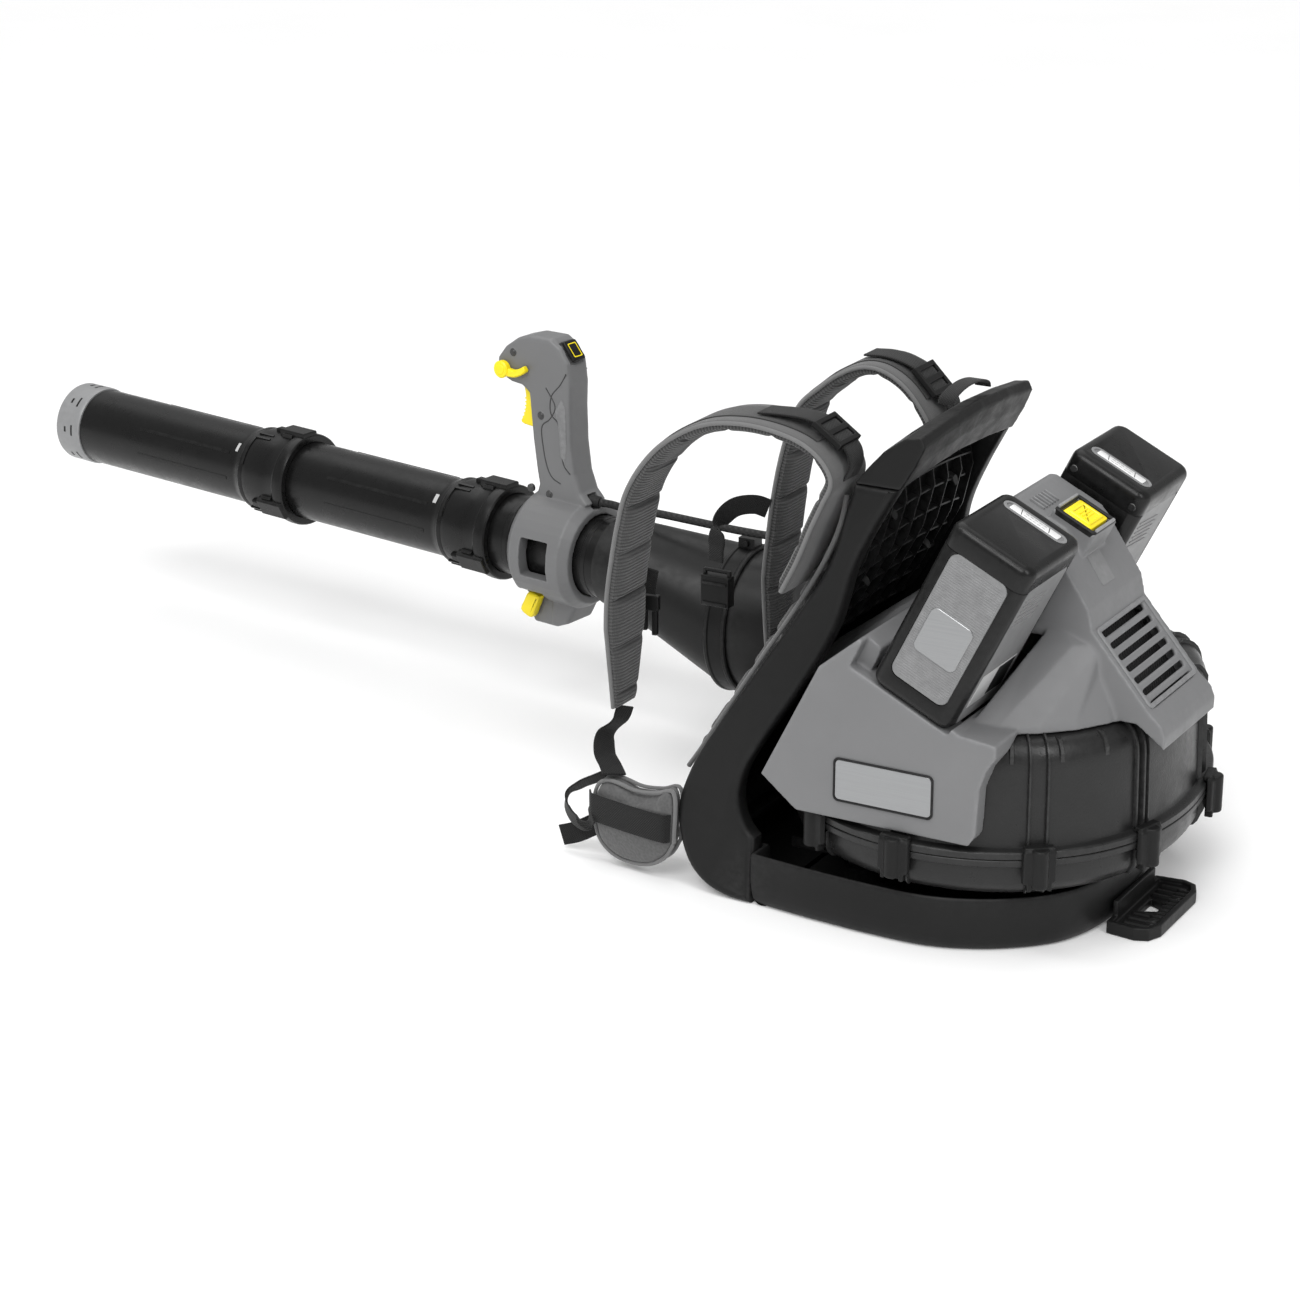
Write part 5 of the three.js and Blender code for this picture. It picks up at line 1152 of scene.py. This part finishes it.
# boost button with a yellow outline
ca, sa = math.cos(rad(50)), math.sin(rad(50))
def bb(a, b, h):
    # local x along the sloped rear face, y across, height out of it
    return tpf(83.4 + a * ca - h * sa, b, 205.9 + a * sa + h * ca)
but = loft([[bb(a, b, h) for a, b in inset2(rrect(22.6, 19, 2.5, 5), k)] for k, h in ((0.6, -1.0), (0, -0.6), (0, 2.2), (0.5, 2.8), (1.2, 3.0))])
done(raw("boost_button_moulded", but), DARK, "boost", "boost_button", 30)
fr = loft([[bb(a, b, h) for a, b in rrect(w, l, 1.0, 2)] for w, l, h in ((15.5, 12.6, 2.7), (15.5, 12.6, 3.25), (13.5, 10.6, 3.25), (13.5, 10.6, 2.7))], loop=True)
done(raw("boost_button_outline", fr), YELLOW, "boost")
# clamp lever
kn = [tuple(p) for p in catmull([(97, -47), (104, -45), (112, -45), (118, -55), (122, -66), (115, -71), (108, -72), (102, -60), (97, -47)], 60)][:-1]
geo = loft([[tpf(t, y, z) for t, z in inset2(kn, k)] for y, k in ((22.6, 1.4), (23.4, 0.4), (25, 0), (29.5, 0), (31.6, 0.7), (32.7, 2.0), (33, 3.6))])
piv = xf(cyl(6, 21.4, 26, 36), lambda x, y, z: tpf(109 + x, z, -58 + y))
done(raw("clamp_lever_moulded", join(geo, piv)), YELLOW, "clamp", "clamp_lever", 30)
# cable glands with bellows
pr = [(46, 0.05), (46, 4.6)]
for i in range(7):
    t = 46.4 + i * 1.9
    pr += [(t, 5.0 + 0.1 * i), (t + 0.9, 5.9 + 0.08 * i), (t + 1.5, 5.0 + 0.1 * i)]
pr += [(60, 6.4), (60, 0.05)]
def gring(t, r, seg=32):
    return [tpf(t, r * math.cos(2 * math.pi * i / seg), 56 + r * math.sin(2 * math.pi * i / seg)) for i in range(seg)]
done(raw("cable_gland_handle_ribbed", loft([gring(t, r) for t, r in pr])), RUBBER, "blow_tube", "cable_gland_handle", 30)
pr = [(9.2, 198.4), (9.2, 200.4)]
for i in range(4):
    z = 200.6 + i * 1.9
    pr += [(8.4 - 0.5 * i, z), (8.7 - 0.5 * i, z + 0.7), (7.7 - 0.5 * i, z + 1.4)]
pr += [(6.3, 208.4)]
done(raw("cable_gland_unit_ribbed", loft([[(-318 + r * math.cos(2 * math.pi * i / 32), 190 + r * math.sin(2 * math.pi * i / 32), z) for i in range(32)] for r, z in pr])), RUBBER, "unit", "cable_gland_unit", 30)

# ------------------------------------------------------------------ carried-over nodes
KEEP = {"motor_carrier": DARK, "motor_stator": STEEL, "motor_rotor_shaft": STEEL, "fan_wheel": DARK, "motor_controller": STEEL, "vent_screen": SCREEN}
for nm, mt in KEEP.items():
    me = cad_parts[nm].data
    if len(me.materials) == 0:
        me.materials.append(mt)
    for i in range(len(me.materials)):
        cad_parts[nm].material_slots[i].material = mt

# ------------------------------------------------------------------ studio
m, nt, b = mat_base("studio_floor")
tc = nt.nodes.new("ShaderNodeTexCoord").outputs["Object"]
nt.links.new(mixc(nt, noise(nt, tc, 2.5, 3), g3(0.86), g3(0.90)), b.inputs["Base Color"])
b.inputs["Emission Color"].default_value = (1, 1, 1, 1)
b.inputs["Emission Strength"].default_value = 0.10
b.inputs["Roughness"].default_value = 0.6
b.inputs["Specular IOR Level"].default_value = 0.2
fl = raw("studio_floor", ([(-14000, -14000, 0), (14000, -14000, 0), (14000, 14000, 0), (-14000, 14000, 0)], [(0, 1, 2, 3)]))
fl.data.materials.append(m)

world = bpy.data.worlds.new("studio")
world.use_nodes = True
bg = world.node_tree.nodes["Background"]
bg.inputs[0].default_value = (1, 1, 1, 1)
bg.inputs[1].default_value = 0.45
scene.world = world
scene.view_settings.view_transform = "Standard"
scene.view_settings.look = "None"

def area(name, loc, target, size, power, size_y=None):
    d = bpy.data.lights.new(name, "AREA")
    d.energy = power
    d.shape = "RECTANGLE"
    d.size, d.size_y = size, size_y or size
    o = link(bpy.data.objects.new(name, d))
    o.location = loc
    o.rotation_euler = (Vector(target) - Vector(loc)).to_track_quat("-Z", "Y").to_euler()
    return o
def sun(name, direction, strength, angle):
    d = bpy.data.lights.new(name, "SUN")
    d.energy, d.angle = strength, rad(angle)
    o = link(bpy.data.objects.new(name, d))
    o.location = Vector(direction) * 3
    o.rotation_euler = (-Vector(direction)).to_track_quat("-Z", "Y").to_euler()
sun("key", (0.10, -0.85, 0.80), 1.15, 26)
sun("top", (-0.25, 0.30, 1.0), 1.15, 60)
area("strip", (-0.5, -0.95, 2.1), (-0.5, 0.0, 0.2), 2.6, 16, 0.35)
area("strip_side", (1.5, -0.9, 1.5), (0.05, -0.05, 0.2), 0.35, 13, 1.3)
